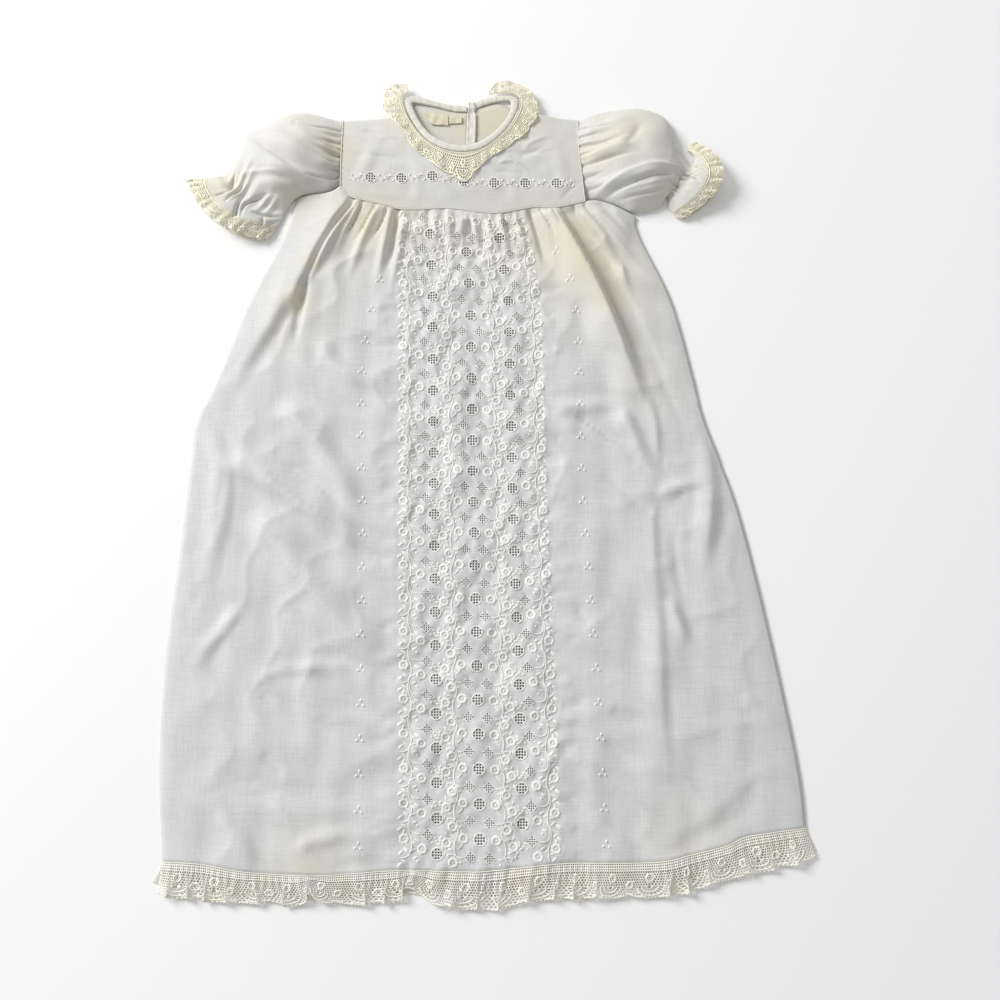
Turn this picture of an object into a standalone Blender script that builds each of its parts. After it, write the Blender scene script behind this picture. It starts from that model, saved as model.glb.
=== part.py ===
"""A christening gown for a small baby, laid flat on its back with its front up.

Every piece is a closed cloth solid. The origin lies under the middle of the gown's box, +X is to the
right in the front view, +Y runs to the neck and +Z is up. Tables and sizes are in millimetres, and MM
turns them into metres.
"""

import math
from collections import namedtuple

import bmesh
import bpy
import numpy as np
from mathutils import Vector
from mathutils.bvhtree import BVHTree

MM = 0.001

# Thicknesses and the spaces between pieces
CLOTH = 1.0
SEAM = 0.3
NECK_SEAM = 0.4
CUFF_SEAM = 0.4
LACE_CLEARANCE = 0.8
PANEL_FLOOR = CLOTH + SEAM

# Forms of the panels
SKIRT_LOFT = 2.0
SIDE_HUG_POWER = 10
ARMHOLE_BULGE = 2.2
NECK_EDGE_UP = 0.8
BINDING_THICKNESS = 2.6

# Back opening
OPENING_X = -12.9
OPENING_WIDTH = 6.0
PLACKET_WIDTH = 8.0
PLACKET_TOP_Y = 303.2
PLACKET_BOTTOM_Y = 218.5
BUTTON_DIAMETER = 5.2
BUTTON_COUNT = 3
FIRST_BUTTON_DROP = 12.0
BUTTON_STEP = 30.0

# Lace
HEM_LACE_WAVES = 22
HEM_LACE_WAVE_HEIGHT = 2.6
HEM_LACE_DEPTH = 22.0
HEM_LACE_HEADER = 5.0
NECK_LACE_WAVES = 15
NECK_LACE_WAVE_HEIGHT = 1.4
CUFF_LACE_WAVES = 9
CUFF_LACE_WAVE_HEIGHT = 1.4

# Sleeve gathers: how many, how high, and how many rows of the sleeve's table they reach
CAP_GATHERS = 6
CAP_REACH = 2.2
ELASTIC_GATHERS = 7
ELASTIC_REACH = 1.6
GATHER_HEIGHT = 1.1

# Grid steps
SEAM_COLUMNS = (8, 60, 12)
PLEATED_ROWS = 6
PLAIN_ROWS = 25
PLEATED_SHARE = 0.13
BACK_ROWS = 12
YOKE_ROWS = 10
BACK_YOKE_ROWS = 8
WAVE_COLUMNS = 5
BACK_LACE_COLUMNS = 40
CURVE_STEPS = 16
FOLD_STEPS = 24

Point = namedtuple("Point", "x y")
Fold = namedtuple("Fold", "x0 y0 x1 y1 x2 y2 height left right start")
Band = namedtuple("Band", "inner_x inner_y outer_x outer_y rise")
Section = namedtuple("Section", "top_x top_y mid_x mid_y low_x low_y height")

UNDERARM_LEFT = [Point(-155.7, 228.3), Point(-141, 230), Point(-126.2, 231.8), Point(-119.9, 236)]
YOKE_SEAM = [
    Point(-119.9, 236), Point(-112, 227.2), Point(-100.6, 223.9), Point(-81.6, 219.6),
    Point(-70.9, 216.4), Point(-56.1, 216.1), Point(-30.7, 216.9), Point(5.4, 212.6),
    Point(38.2, 217.6), Point(57, 217.8), Point(80.9, 223.4),
]
UNDERARM_RIGHT = [Point(80.9, 223.4), Point(94.8, 223.5), Point(122.5, 211.7)]
LEFT_SIDE = [
    Point(-155.7, 228.3), Point(-165.3, 194.4), Point(-191, 139.6), Point(-215.6, 72.7),
    Point(-229.2, 39.9), Point(-232.5, 7.5), Point(-237.3, -56.2), Point(-245, -148.7),
    Point(-245.5, -230), Point(-239.7, -298),
]
RIGHT_SIDE = [
    Point(122.5, 211.7), Point(124.6, 194.4), Point(149.3, 139.6), Point(165.9, 72.7), Point(173.5, 39),
    Point(195.2, -24.5), Point(210, -87.4), Point(227.7, -178.9), Point(237.1, -238),
    Point(239.3, -273.6),
]
HEM = [
    Point(-239.7, -298), Point(-212.9, -299.1), Point(-175.6, -305.1), Point(-124.4, -307.2),
    Point(-63, -303.8), Point(-3.7, -304.4), Point(55.6, -299), Point(124.6, -298), Point(151.5, -293),
    Point(178.4, -286.5), Point(196.5, -279.4), Point(239.3, -273.6),
]
FRONT_LACE_EDGE = [
    Point(-242.2, -321.4), Point(-191, -326.7), Point(-159.3, -327.1), Point(-138.6, -328.5),
    Point(-128, -319.5), Point(-113.5, -327.1), Point(-70.8, -327.1), Point(-54.7, -317.2),
    Point(-38.3, -328.5), Point(-5.1, -332), Point(8.2, -332), Point(40.6, -325), Point(92.3, -323.5),
    Point(136.6, -322.1), Point(157.4, -317.2), Point(186.5, -308.7), Point(221.6, -301.6),
    Point(246.4, -295.1),
]
BACK_LACE_EDGE = [
    Point(-247.8, -313), Point(-190, -321), Point(-120, -324.5), Point(-60, -321.5), Point(0, -322),
    Point(56, -316.5), Point(125, -316), Point(180, -304), Point(246.8, -290),
]
SHOULDER_LEFT = [
    Point(-119.5, 295.6), Point(-100, 296.2), Point(-82, 297.6), Point(-74, 301.5), Point(-67.6, 304),
]
SHOULDER_RIGHT = [
    Point(26.6, 304.8), Point(33, 302.8), Point(43.2, 301.2), Point(61, 297.7), Point(76, 296.5),
]
ARMHOLE_LEFT = [Point(-119.6, 236.3), Point(-119.6, 266), Point(-119.5, 295.6)]
ARMHOLE_RIGHT = [Point(80.7, 223.7), Point(76.5, 266.2), Point(76, 296.5)]

# Largest folds of the skirt: a ridge through three points of the plan, its height, the reach of its
# flanks to the left and to the right of its run, and the share of its height at the first point
SKIRT_FOLDS = [
    # gathers at the yoke seam, left of the panel
    Fold(-117, 221, -159, 147, -223, 43, 9.0, 14, 30, 0.45),
    Fold(-107, 220, -146, 149, -179, 82, -3.0, 10, 8, 0.3),
    Fold(-101, 222, -113, 202, -127, 171, 3.4, 5.5, 5, 0.45),
    Fold(-88, 218, -101, 190, -114, 152, 4.0, 6, 5.5, 0.45),
    Fold(-77, 215, -83, 186, -92, 139, 3.6, 5.5, 5, 0.45),
    Fold(-67, 213, -71, 181, -79, 139, 3.0, 6, 5, 0.45),
    # gathers on the panel
    Fold(-42, 215, -42, 196, -44, 176, 1.6, 5, 5, 0.5),
    Fold(-31, 214, -30, 194, -27, 171, 2.2, 5, 5, 0.5),
    Fold(-21, 213, -21, 194, -20, 171, 2.0, 4.5, 4.5, 0.5),
    Fold(-11, 212, -9, 197, -5, 176, 2.2, 5, 5, 0.5),
    Fold(1, 210, 2, 197, 4, 181, 1.8, 5, 5, 0.5),
    Fold(11, 210, 14, 197, 18, 178, 2.4, 5, 5, 0.5),
    Fold(22, 212, 27, 197, 32, 178, 2.4, 5, 5, 0.5),
    Fold(36, 214, 42, 194, 48, 164, 3.2, 6, 6, 0.5),
    # gathers right of the panel
    Fold(54, 215, 97, 130, 133, 23, 8.5, 15, 10, 0.45),
    Fold(64, 213, 102, 145, 128, 60, -2.5, 7, 8, 0.3),
    Fold(72, 216, 91, 192, 114, 148, 5.0, 9, 7, 0.45),
    Fold(85, 221, 104, 203, 122, 184, 3.0, 8, 7, 0.45),
    Fold(100, 219, 112, 206, 121, 190, 2.0, 6, 6, 0.3),
    # left half of the skirt
    Fold(-228, 35, -206, -25, -235, -134, 4.5, 12, 16, 0),
    Fold(-215, 11, -153, -22, -72, -77, 5.0, 24, 13, 0),
    Fold(-171, 54, -129, 16, -90, -55, 4.0, 16, 12, 0),
    Fold(-185, -31, -134, -95, -66, -166, 6.0, 30, 20, 0),
    Fold(-189, -109, -209, -134, -228, -165, 2.6, 9, 9, 0),
    Fold(-208, -240, -138, -248, -67, -241, -1.6, 14, 12, 0),
    Fold(-132, 109, -114, 79, -69, 66, 3.0, 12, 10, 0),
    Fold(-149, -156, -118, -153, -102, -161, 2.0, 9, 9, 0),
    Fold(-137, -292, -123, -280, -78, -277, 2.0, 9, 10, 0),
    Fold(-202, -258, -182, -281, -169, -301, 2.0, 10, 10, 0),
    # right half of the skirt
    Fold(50, 48, 79, 51, 102, 49, 3.4, 8, 11, 0),
    Fold(102, 49, 117, 23, 129, -11, 4.2, 12, 10, 0),
    Fold(68, 39, 88, 23, 117, 13, -1.8, 9, 9, 0),
    Fold(133, -22, 154, -14, 177, -14, 3.2, 9, 10, 0),
    Fold(133, -69, 133, -171, 139, -263, 2.2, 9, 16, 0),
    Fold(140, -100, 148, -120, 156, -140, 2.8, 9, 9, 0),
    Fold(174, 33, 176, -25, 164, -91, 6.0, 11, 16, 0),
    Fold(185, -1, 191, -29, 179, -60, -2.0, 9, 9, 0),
    Fold(193, -173, 211, -188, 230, -200, 2.4, 9, 9, 0),
    Fold(59, -216, 75, -227, 88, -236, 2.0, 9, 9, 0),
    Fold(58, -242, 95, -261, 126, -294, -1.6, 12, 12, 0),
    Fold(126, -296, 175, -271, 225, -236, -1.6, 12, 12, 0),
]
YOKE_FOLDS = [
    Fold(-104, 232, -98, 258, -84, 286, 1.2, 9, 9, 0.4),
    Fold(60, 222, 62, 252, 52, 288, 1.2, 9, 9, 0.4),
    Fold(-60, 222, -56, 240, -58, 260, 0.8, 8, 8, 0.4),
    Fold(24, 220, 22, 240, 26, 262, 0.8, 8, 8, 0.4),
]
LEFT_SLEEVE_FOLDS = [
    Fold(-122, 246, -152, 262, -186, 284, 4.0, 9, 12, 0),
    Fold(-124, 262, -146, 276, -170, 292, 2.6, 8, 8, 0),
    Fold(-134, 238, -166, 246, -202, 262, 3.4, 9, 9, 0),
    Fold(-150, 234, -172, 234, -192, 240, 2.6, 7, 7, 0),
]
RIGHT_SLEEVE_FOLDS = [
    Fold(84, 232, 120, 240, 160, 250, 4.2, 9, 10, 0),
    Fold(100, 228, 128, 228, 152, 238, 3.4, 7, 8, 0),
    Fold(80, 262, 104, 266, 128, 278, 2.8, 9, 9, 0),
    Fold(80, 282, 98, 288, 118, 298, 2.2, 7, 7, 0),
]

# Neck binding from the left end of its opening, round the left neck point, the front and the right
# neck point: the edge at the hole, the edge away from it and the height of the underside
NECK_BINDING = [
    Band(-16.9, 303.9, -17.3, 310.9, 0.0),
    Band(-27, 304.6, -28, 310.8, 0.0),
    Band(-41.4, 308.3, -42, 313.8, 0.3),
    Band(-54, 310.8, -56.6, 318.2, 0.9),
    Band(-60.4, 311.7, -65.4, 318.6, 1.4),
    Band(-61.8, 310.6, -69.2, 315, 1.8),
    Band(-61.1, 307.2, -68.3, 308.2, 2.5),
    Band(-59.2, 302.6, -66.2, 301.6, 3.2),
    Band(-54.6, 292.9, -59.9, 289.6, 4.4),
    Band(-46.2, 282.2, -49.8, 276.8, 5.4),
    Band(-33.2, 274.3, -34.6, 267.8, 6.2),
    Band(-20.4, 271.6, -18.2, 265.3, 6.4),
    Band(-7.6, 274.6, -3, 269, 6.2),
    Band(4.8, 283, 9.6, 278.8, 5.4),
    Band(13.6, 292.9, 19.2, 290.6, 4.4),
    Band(18.6, 302.4, 24.8, 302.6, 3.2),
    Band(19.8, 308.6, 26.6, 309.4, 2.5),
    Band(19.4, 312.7, 26, 315, 1.8),
    Band(16.6, 313.6, 20.4, 318.5, 1.4),
    Band(10, 312.9, 10, 318.6, 0.9),
    Band(1.1, 310.9, -0.6, 317.2, 0.3),
    Band(-9.2, 306.8, -10.6, 313.2, 0.0),
]
LEFT_BACK_NECK_END = 4
FRONT_NECK_START = 7
FRONT_NECK_END = 15
RIGHT_BACK_NECK_START = 19
BINDING_STEPS = 2

# Neck lace from the back right, round the front to the back left: its sewn edge, its free edge and
# the height of the free edge where no panel lies under it
NECK_LACE = [
    Band(2, 318.6, 1.4, 322.4, 3.0),
    Band(11.4, 319.6, 12, 330.8, 3.6),
    Band(21.8, 319.2, 30, 326.6, 3.8),
    Band(27, 315.4, 40, 317, 3.8),
    Band(27.5, 309.2, 43.4, 303, 3.6),
    Band(25.7, 302.4, 39.6, 292.8, 3.4),
    Band(20, 290.1, 30.4, 279.6, 3.4),
    Band(10.1, 278.1, 13, 266, 3.4),
    Band(-2.8, 268, -2.6, 254.2, 3.4),
    Band(-18.1, 264.3, -16.9, 238.2, 3.4),
    Band(-34.9, 266.9, -36, 247.8, 3.4),
    Band(-50.5, 276.1, -58.6, 266.6, 3.4),
    Band(-60.8, 289.1, -70.4, 285.6, 3.4),
    Band(-67.1, 301.4, -83.8, 302.6, 3.6),
    Band(-69.3, 308.2, -87, 312.4, 3.8),
    Band(-70.2, 315.4, -81.4, 326, 3.8),
    Band(-65.6, 319.6, -66.6, 328.2, 3.4),
]
LACE_STEPS = 6

# Sleeves from the armhole to the frill's edge: the fold at the top, the middle and the fold at the
# underarm in the plan, and the height of the puff
LEFT_SLEEVE = [
    Section(-119.9, 295.2, -120, 266, -120.2, 238, 6.4),
    Section(-134.6, 299.4, -133, 266, -129, 232.4, 12),
    Section(-151, 302.8, -148, 264, -141, 231, 17),
    Section(-169, 299.6, -163, 258, -151, 229.7, 19),
    Section(-187.5, 290, -175, 250, -158.4, 225.4, 18),
    Section(-203.4, 280.6, -186, 240, -162.4, 219, 14),
    Section(-212.8, 251, -196, 227.6, -164.8, 215.2, 8.6),
    Section(-222, 247, -203.4, 220.4, -167.4, 209, 11.5),
    Section(-230, 245.4, -211, 213.4, -171, 203, 13),
]
LEFT_CUFF_LACE = [
    Section(-230.3, 245.4, -211.3, 213.2, -171.1, 202.6, 13),
    Section(-239.8, 244.8, -217, 209.6, -175, 196.6, 13.6),
    Section(-248.4, 244, -221.4, 205.4, -181, 190.4, 12.4),
]
RIGHT_SLEEVE = [
    Section(76.4, 296, 77, 262, 81.4, 225, 6.4),
    Section(90, 302.2, 91, 262, 94, 224.9, 12),
    Section(108, 305.2, 108, 262, 107, 220, 17),
    Section(128, 306.4, 126, 260, 118, 215, 19),
    Section(146, 300, 139, 257, 127, 215.6, 18),
    Section(153.8, 287.4, 148, 253, 136, 217.2, 15),
    Section(157, 273, 153.6, 247, 143.6, 221.6, 12),
    Section(169.6, 258.4, 160.8, 241, 148.4, 229.6, 8.6),
    Section(170.8, 264.4, 170.4, 240.4, 149.6, 221, 11.5),
    Section(166.4, 270, 179.4, 241, 152.4, 214.6, 13),
]
RIGHT_CUFF_LACE = [
    Section(166.5, 270.4, 179.8, 241, 152.6, 214.2, 13),
    Section(168, 275, 187.6, 242, 155.6, 210.8, 13.6),
    Section(172.4, 277.4, 194, 242.4, 161.4, 209, 12.4),
]
ARMHOLE_TO_ELASTIC = {"left": 6, "right": 7}
SLEEVE_STEPS = 2
SLEEVE_TOP_SIDES = 26
SLEEVE_UNDER_SIDES = 6
SLEEVE_EDGE_SHARE = 0.3
UNDERSIDE_ROUNDING = 2.4

LABEL_MAIN = [Point(-52.2, 305), Point(-32, 301.2), Point(-46.3, 292.9), Point(-32, 292.2)]
LABEL_SIZE = [Point(-31.4, 300.9), Point(-20.6, 300.1), Point(-31.4, 293.6), Point(-20.6, 294.2)]


def spline(rows, steps):
    """The rows joined by a Catmull-Rom curve, with this many steps from each row to the next."""
    points = np.array([tuple(row) for row in rows], float)
    padded = np.vstack([2 * points[0] - points[1], points, 2 * points[-1] - points[-2]])
    found = []
    for before, start, end, after in zip(padded, padded[1:], padded[2:], padded[3:]):
        for step in range(steps):
            t = step / steps
            found.append(
                0.5
                * (
                    2 * start
                    + (end - before) * t
                    + (2 * before - 5 * start + 4 * end - after) * t**2
                    + (3 * start - before - 3 * end + after) * t**3
                )
            )
    found.append(points[-1])
    return np.array(found)


def read_at(curve, shares):
    """Points of a curve at the given shares of its length in the plan."""
    lengths = np.hypot(*np.diff(curve[:, :2], axis=0).T)
    along = np.concatenate([[0], np.cumsum(lengths)]) / lengths.sum()
    return np.column_stack([np.interp(shares, along, axis) for axis in curve.T])


def smooth_line(points, count):
    """A smooth curve through plan points, read at even steps."""
    return read_at(spline(points, CURVE_STEPS), np.linspace(0, 1, count + 1))


def with_height(curve, height):
    """The plan points of a curve at this height, or at a height each."""
    return np.column_stack([curve[:, :2], np.broadcast_to(height, len(curve))])


def patch(top, bottom, left, right, down=None):
    """A grid inside four edges: its rows run from top to bottom, at the shares in down."""
    u = np.linspace(0, 1, len(top))[None, :, None]
    v = (np.linspace(0, 1, len(left)) if down is None else down)[:, None, None]
    ruled_down = (1 - v) * top[None] + v * bottom[None]
    ruled_across = (1 - u) * left[:, None] + u * right[:, None]
    along_top = (1 - u) * top[0] + u * top[-1]
    along_bottom = (1 - u) * bottom[0] + u * bottom[-1]
    return ruled_down + ruled_across - (1 - v) * along_top - v * along_bottom


def smooth_step(share):
    """A soft rise from nought to one."""
    share = np.clip(share, 0, 1)
    return share * share * (3 - 2 * share)


def fold_lift(x, y, folds, rise_share=0.22, fall_share=0.45):
    """The height that the folds add at each point of the plan."""
    lift = np.zeros_like(x)
    t = np.linspace(0, 1, FOLD_STEPS + 1)[:, None]
    for fold in folds:
        start = np.array([fold.x0, fold.y0], float)
        middle = np.array([fold.x1, fold.y1], float)
        end = np.array([fold.x2, fold.y2], float)
        control = 2 * middle - (start + end) / 2
        run = (1 - t) ** 2 * start + 2 * t * (1 - t) * control + t**2 * end
        nearest = np.full(x.shape, np.inf)
        side = np.zeros_like(x)
        along = np.zeros_like(x)
        for index in range(len(run) - 1):
            a = run[index]
            step = run[index + 1] - a
            share = ((x - a[0]) * step[0] + (y - a[1]) * step[1]) / (step @ step)
            share = np.clip(share, 0, 1)
            away_x = x - a[0] - share * step[0]
            away_y = y - a[1] - share * step[1]
            distance = np.hypot(away_x, away_y)
            closer = distance < nearest
            nearest = np.where(closer, distance, nearest)
            side = np.where(closer, np.sign(step[0] * away_y - step[1] * away_x), side)
            along = np.where(closer, (index + share) / (len(run) - 1), along)
        reach = np.where(side > 0, fold.left, fold.right)
        across = 0.5 + 0.5 * np.cos(np.pi * np.clip(nearest / reach, 0, 1))
        start_share = fold.start + (1 - fold.start) * smooth_step(along / rise_share)
        end_share = smooth_step((1 - along) / fall_share)
        lift += fold.height * across * start_share * end_share
    return lift


def above_zero(height, softness=0.5):
    """Heights kept above nought with a soft bend."""
    return 0.5 * (height + np.sqrt(height**2 + softness**2))


def grid_normals(grid, closed=False):
    """Unit normals of a grid of points. A closed grid's columns run round in a ring."""
    down = np.gradient(grid, axis=0)
    if closed:
        across = (np.roll(grid, -1, axis=1) - np.roll(grid, 1, axis=1)) / 2
    else:
        across = np.gradient(grid, axis=1)
    normals = np.cross(down, across)
    return normals / np.linalg.norm(normals, axis=2, keepdims=True)


def thickened(grid):
    """The upper side of a panel whose underside is the grid: one cloth away, and straight up at its edges."""
    normals = grid_normals(grid)
    normals *= np.sign(normals[:, :, 2:])
    for edge in (normals[0], normals[-1], normals[:, 0], normals[:, -1]):
        edge[:] = (0, 0, 1)
    return grid + CLOTH * normals


def paint(name, colour, roughness):
    """A plain finish."""
    material = bpy.data.materials.new(name)
    material.use_nodes = True
    shader = material.node_tree.nodes["Principled BSDF"]
    shader.inputs["Base Color"].default_value = (*colour, 1)
    shader.inputs["Roughness"].default_value = roughness
    shader.inputs["Metallic"].default_value = 0
    return material


def solid(name, points, faces, material):
    """One closed piece, its faces turned outwards."""
    mesh = bpy.data.meshes.new(name)
    mesh.from_pydata([tuple(float(value) * MM for value in point) for point in points], [], faces)
    build = bmesh.new()
    build.from_mesh(mesh)
    bmesh.ops.recalc_face_normals(build, faces=build.faces[:])
    if build.calc_volume(signed=True) < 0:
        bmesh.ops.reverse_faces(build, faces=build.faces[:])
    build.to_mesh(mesh)
    build.free()
    mesh.shade_smooth()
    mesh.set_sharp_from_angle(angle=math.radians(50))
    mesh.materials.append(material)
    piece = bpy.data.objects.new(name, mesh)
    bpy.context.collection.objects.link(piece)
    return piece


def numbered(rows, first):
    """The point numbers of rows of points that are stored one after the other."""
    found = []
    for row in rows:
        found.append(list(range(first, first + len(row))))
        first += len(row)
    return found


def joined_rows(upper, lower):
    """Faces between two rows, the second as long as the first or with every other point of it."""
    if len(upper) == len(lower):
        return [(upper[i], upper[i + 1], lower[i + 1], lower[i]) for i in range(len(upper) - 1)]
    faces = []
    for i in range(len(lower) - 1):
        faces.append((upper[2 * i], upper[2 * i + 1], lower[i]))
        faces.append((upper[2 * i + 1], lower[i + 1], lower[i]))
        faces.append((upper[2 * i + 1], upper[2 * i + 2], lower[i + 1]))
    return faces


def panel(name, under, over, material):
    """A closed wall between the rows of its underside and those of its upper side."""
    count = sum(len(row) for row in under)
    under_rows = numbered(under, 0)
    over_rows = numbered(over, count)
    faces = []
    for rows in (under_rows, over_rows):
        for upper, lower in zip(rows, rows[1:]):
            faces += joined_rows(upper, lower)
    loops = []
    for rows in (under_rows, over_rows):
        right = [row[-1] for row in rows[1:-1]]
        left = [row[0] for row in rows[1:-1]]
        loops.append(rows[0] + right + rows[-1][::-1] + left[::-1])
    below, above = loops
    for i in range(len(below)):
        j = (i + 1) % len(below)
        faces.append((below[i], below[j], above[j], above[i]))
    return solid(name, np.vstack(list(under) + list(over)), faces, material)


def tube(name, outside, inside, material):
    """A closed wall between two grids whose columns run round in a ring."""
    rings, sides, _ = outside.shape
    faces = []
    for first in (0, rings * sides):
        for row in range(rings - 1):
            for i in range(sides):
                j = (i + 1) % sides
                a = first + row * sides
                faces.append((a + i, a + j, a + sides + j, a + sides + i))
    for a in (0, (rings - 1) * sides):
        b = a + rings * sides
        for i in range(sides):
            j = (i + 1) % sides
            faces.append((a + i, a + j, b + j, b + i))
    return solid(name, np.vstack([outside.reshape(-1, 3), inside.reshape(-1, 3)]), faces, material)


def seam_curves(columns):
    """The skirt's top edge: columns under the left arm, along the yoke and under the right arm."""
    left = smooth_line(UNDERARM_LEFT, columns[0])
    yoke = smooth_line(YOKE_SEAM, columns[1])
    right = smooth_line(UNDERARM_RIGHT, columns[2])
    return np.vstack([left, yoke[1:], right[1:]])


def thinned(grid, full_rows):
    """The grid's first rows whole, and every other point of the rest."""
    return [row if index < full_rows else row[::2] for index, row in enumerate(grid)]


def skirt_plan(columns, shares):
    """The outline of a skirt panel filled with a grid, from the yoke seam down to the hem."""
    top = seam_curves(columns)
    hem = smooth_line(HEM, sum(columns))
    left = read_at(spline(LEFT_SIDE, CURVE_STEPS), shares)
    right = read_at(spline(RIGHT_SIDE, CURVE_STEPS), shares)
    return patch(top, hem, left, right, shares)


def make_skirt_front(material):
    """The front skirt, gathered at the yoke, with its folds as they lie."""
    pleated = np.linspace(0, PLEATED_SHARE, PLEATED_ROWS + 1)
    plain = np.linspace(PLEATED_SHARE, 1, PLAIN_ROWS + 1)
    plan = skirt_plan(SEAM_COLUMNS, np.concatenate([pleated, plain[1:]]))
    x, y = plan[:, :, 0], plan[:, :, 1]
    hug = 1 - np.linspace(-1, 1, plan.shape[1])[None, :] ** SIDE_HUG_POWER
    rise = above_zero(SKIRT_LOFT + fold_lift(x, y, SKIRT_FOLDS)) * hug
    under = np.dstack([x, y, PANEL_FLOOR + rise])
    over = thickened(under)
    panel("skirt_front", thinned(under, PLEATED_ROWS + 1), thinned(over, PLEATED_ROWS + 1), material)
    return under


def make_skirt_back(material):
    """The back skirt, flat on the surface."""
    columns = [count // 2 for count in SEAM_COLUMNS]
    plan = skirt_plan(columns, np.linspace(0, 1, BACK_ROWS + 1))
    return flat_panel("skirt_back", plan, 0, material)


def flat_panel(name, plan, height, material):
    """A panel of one cloth that lies level at this height."""
    under = np.dstack([plan, np.full(plan.shape[:2], height)])
    panel(name, under, under + (0, 0, CLOTH), material)
    return under


def moved_out(curve, distance):
    """A plan curve moved to the right of its run."""
    run = np.gradient(curve, axis=0)
    run /= np.linalg.norm(run, axis=1, keepdims=True)
    return curve + distance * np.column_stack([run[:, 1], -run[:, 0]])


def make_yoke_front(skirt, binding, material):
    """The front yoke: its lower edge follows the gathered skirt, and its neck edge the binding."""
    first = SEAM_COLUMNS[0]
    seam = skirt[0, first : first + SEAM_COLUMNS[1] + 1] + (0, SEAM, 0)
    neck = binding[FRONT_NECK_START * BINDING_STEPS : FRONT_NECK_END * BINDING_STEPS + 1]
    neck_edge = with_height(moved_out(neck[:, 2:4], NECK_SEAM), neck[:, 4] + NECK_EDGE_UP)
    columns = (SEAM_COLUMNS[1] // 2 - len(neck) + 1) // 2
    left_rise = np.linspace(PANEL_FLOOR, neck_edge[0, 2], columns + 1)
    right_rise = np.linspace(neck_edge[-1, 2], PANEL_FLOOR, columns + 1)
    left = with_height(smooth_line(SHOULDER_LEFT, columns), left_rise)
    right = with_height(smooth_line(SHOULDER_RIGHT, columns), right_rise)
    top = np.vstack([left[:-1], neck_edge, right[1:]])
    full_top = np.empty((2 * len(top) - 1, 3))
    full_top[::2] = top
    full_top[1::2] = (top[:-1] + top[1:]) / 2

    up = np.linspace(0, 1, YOKE_ROWS + 1)
    edges = []
    for points, corner in ((ARMHOLE_LEFT, seam[0]), (ARMHOLE_RIGHT, seam[-1])):
        rise = corner[2] + (PANEL_FLOOR - corner[2]) * up + ARMHOLE_BULGE * np.sin(np.pi * up)
        edges.append(with_height(smooth_line(points, YOKE_ROWS), rise))
    seam[0, :2] = edges[0][0, :2]
    seam[-1, :2] = edges[1][0, :2]

    under = patch(seam, full_top, *edges)
    from_sides = np.sin(np.pi * np.linspace(0, 1, under.shape[1]))[None, :] ** 0.3
    from_ends = np.sin(np.pi * up)[:, None] ** 0.5
    under[:, :, 2] += fold_lift(under[:, :, 0], under[:, :, 1], YOKE_FOLDS) * from_sides * from_ends
    return panel("yoke_front", thinned(under, 1), thinned(thickened(under), 1), material)


def make_yoke_backs(skirt_back, binding, material):
    """The two back yokes, flat on the surface, with the slot of the back opening between them."""
    first = SEAM_COLUMNS[0] // 2
    seam = skirt_back[0, first : first + SEAM_COLUMNS[1] // 2 + 1, :2] + (0, SEAM)
    left_x = OPENING_X - OPENING_WIDTH / 2
    right_x = OPENING_X + OPENING_WIDTH / 2

    neck = moved_out(binding[: LEFT_BACK_NECK_END * BINDING_STEPS + 1, :2], -NECK_SEAM)[::-1]
    neck[-1, 0] = left_x
    corner = (left_x, np.interp(left_x, seam[:, 0], seam[:, 1]))
    edge = np.vstack([ARMHOLE_LEFT[0], seam[1:][seam[1:, 0] < left_x], corner])
    shoulder = [*SHOULDER_LEFT[:3], Point(-73, 303.5), Point(*neck[0])]
    shoulder = smooth_line(shoulder, len(edge) - len(neck))
    armhole = smooth_line(ARMHOLE_LEFT, BACK_YOKE_ROWS)
    slot = np.linspace(corner, neck[-1], BACK_YOKE_ROWS + 1)
    plan = patch(edge, np.vstack([shoulder[:-1], neck]), armhole, slot)
    flat_panel("yoke_back_left", plan, 0, material)

    neck = moved_out(binding[RIGHT_BACK_NECK_START * BINDING_STEPS :, :2], -NECK_SEAM)[::-1]
    neck[0, 0] = right_x
    corner = (right_x, np.interp(right_x, seam[:, 0], seam[:, 1]))
    edge = np.vstack([corner, seam[:-1][seam[:-1, 0] > right_x], ARMHOLE_RIGHT[0]])
    shoulder = [Point(*neck[-1]), Point(30, 304.5), *SHOULDER_RIGHT[2:]]
    shoulder = smooth_line(shoulder, len(edge) - len(neck))
    armhole = smooth_line(ARMHOLE_RIGHT, BACK_YOKE_ROWS)
    slot = np.linspace(corner, neck[0], BACK_YOKE_ROWS + 1)
    plan = patch(edge, np.vstack([neck, shoulder[1:]]), slot, armhole)
    flat_panel("yoke_back_right", plan, 0, material)


def make_button(name, y, material):
    """A small round button with a softened rim."""
    build = bmesh.new()
    radius = BUTTON_DIAMETER / 2 * MM
    bmesh.ops.create_cone(build, cap_ends=True, segments=24, radius1=radius, radius2=radius, depth=CLOTH * MM)
    rims = [edge for edge in build.edges if any(len(face.verts) > 4 for face in edge.link_faces)]
    bmesh.ops.bevel(build, geom=rims, offset=0.2 * MM, segments=1, affect="EDGES")
    mesh = bpy.data.meshes.new(name)
    build.to_mesh(mesh)
    build.free()
    mesh.materials.append(material)
    button = bpy.data.objects.new(name, mesh)
    button.location = Vector((OPENING_X, y, CLOTH / 2)) * MM
    bpy.context.collection.objects.link(button)


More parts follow.
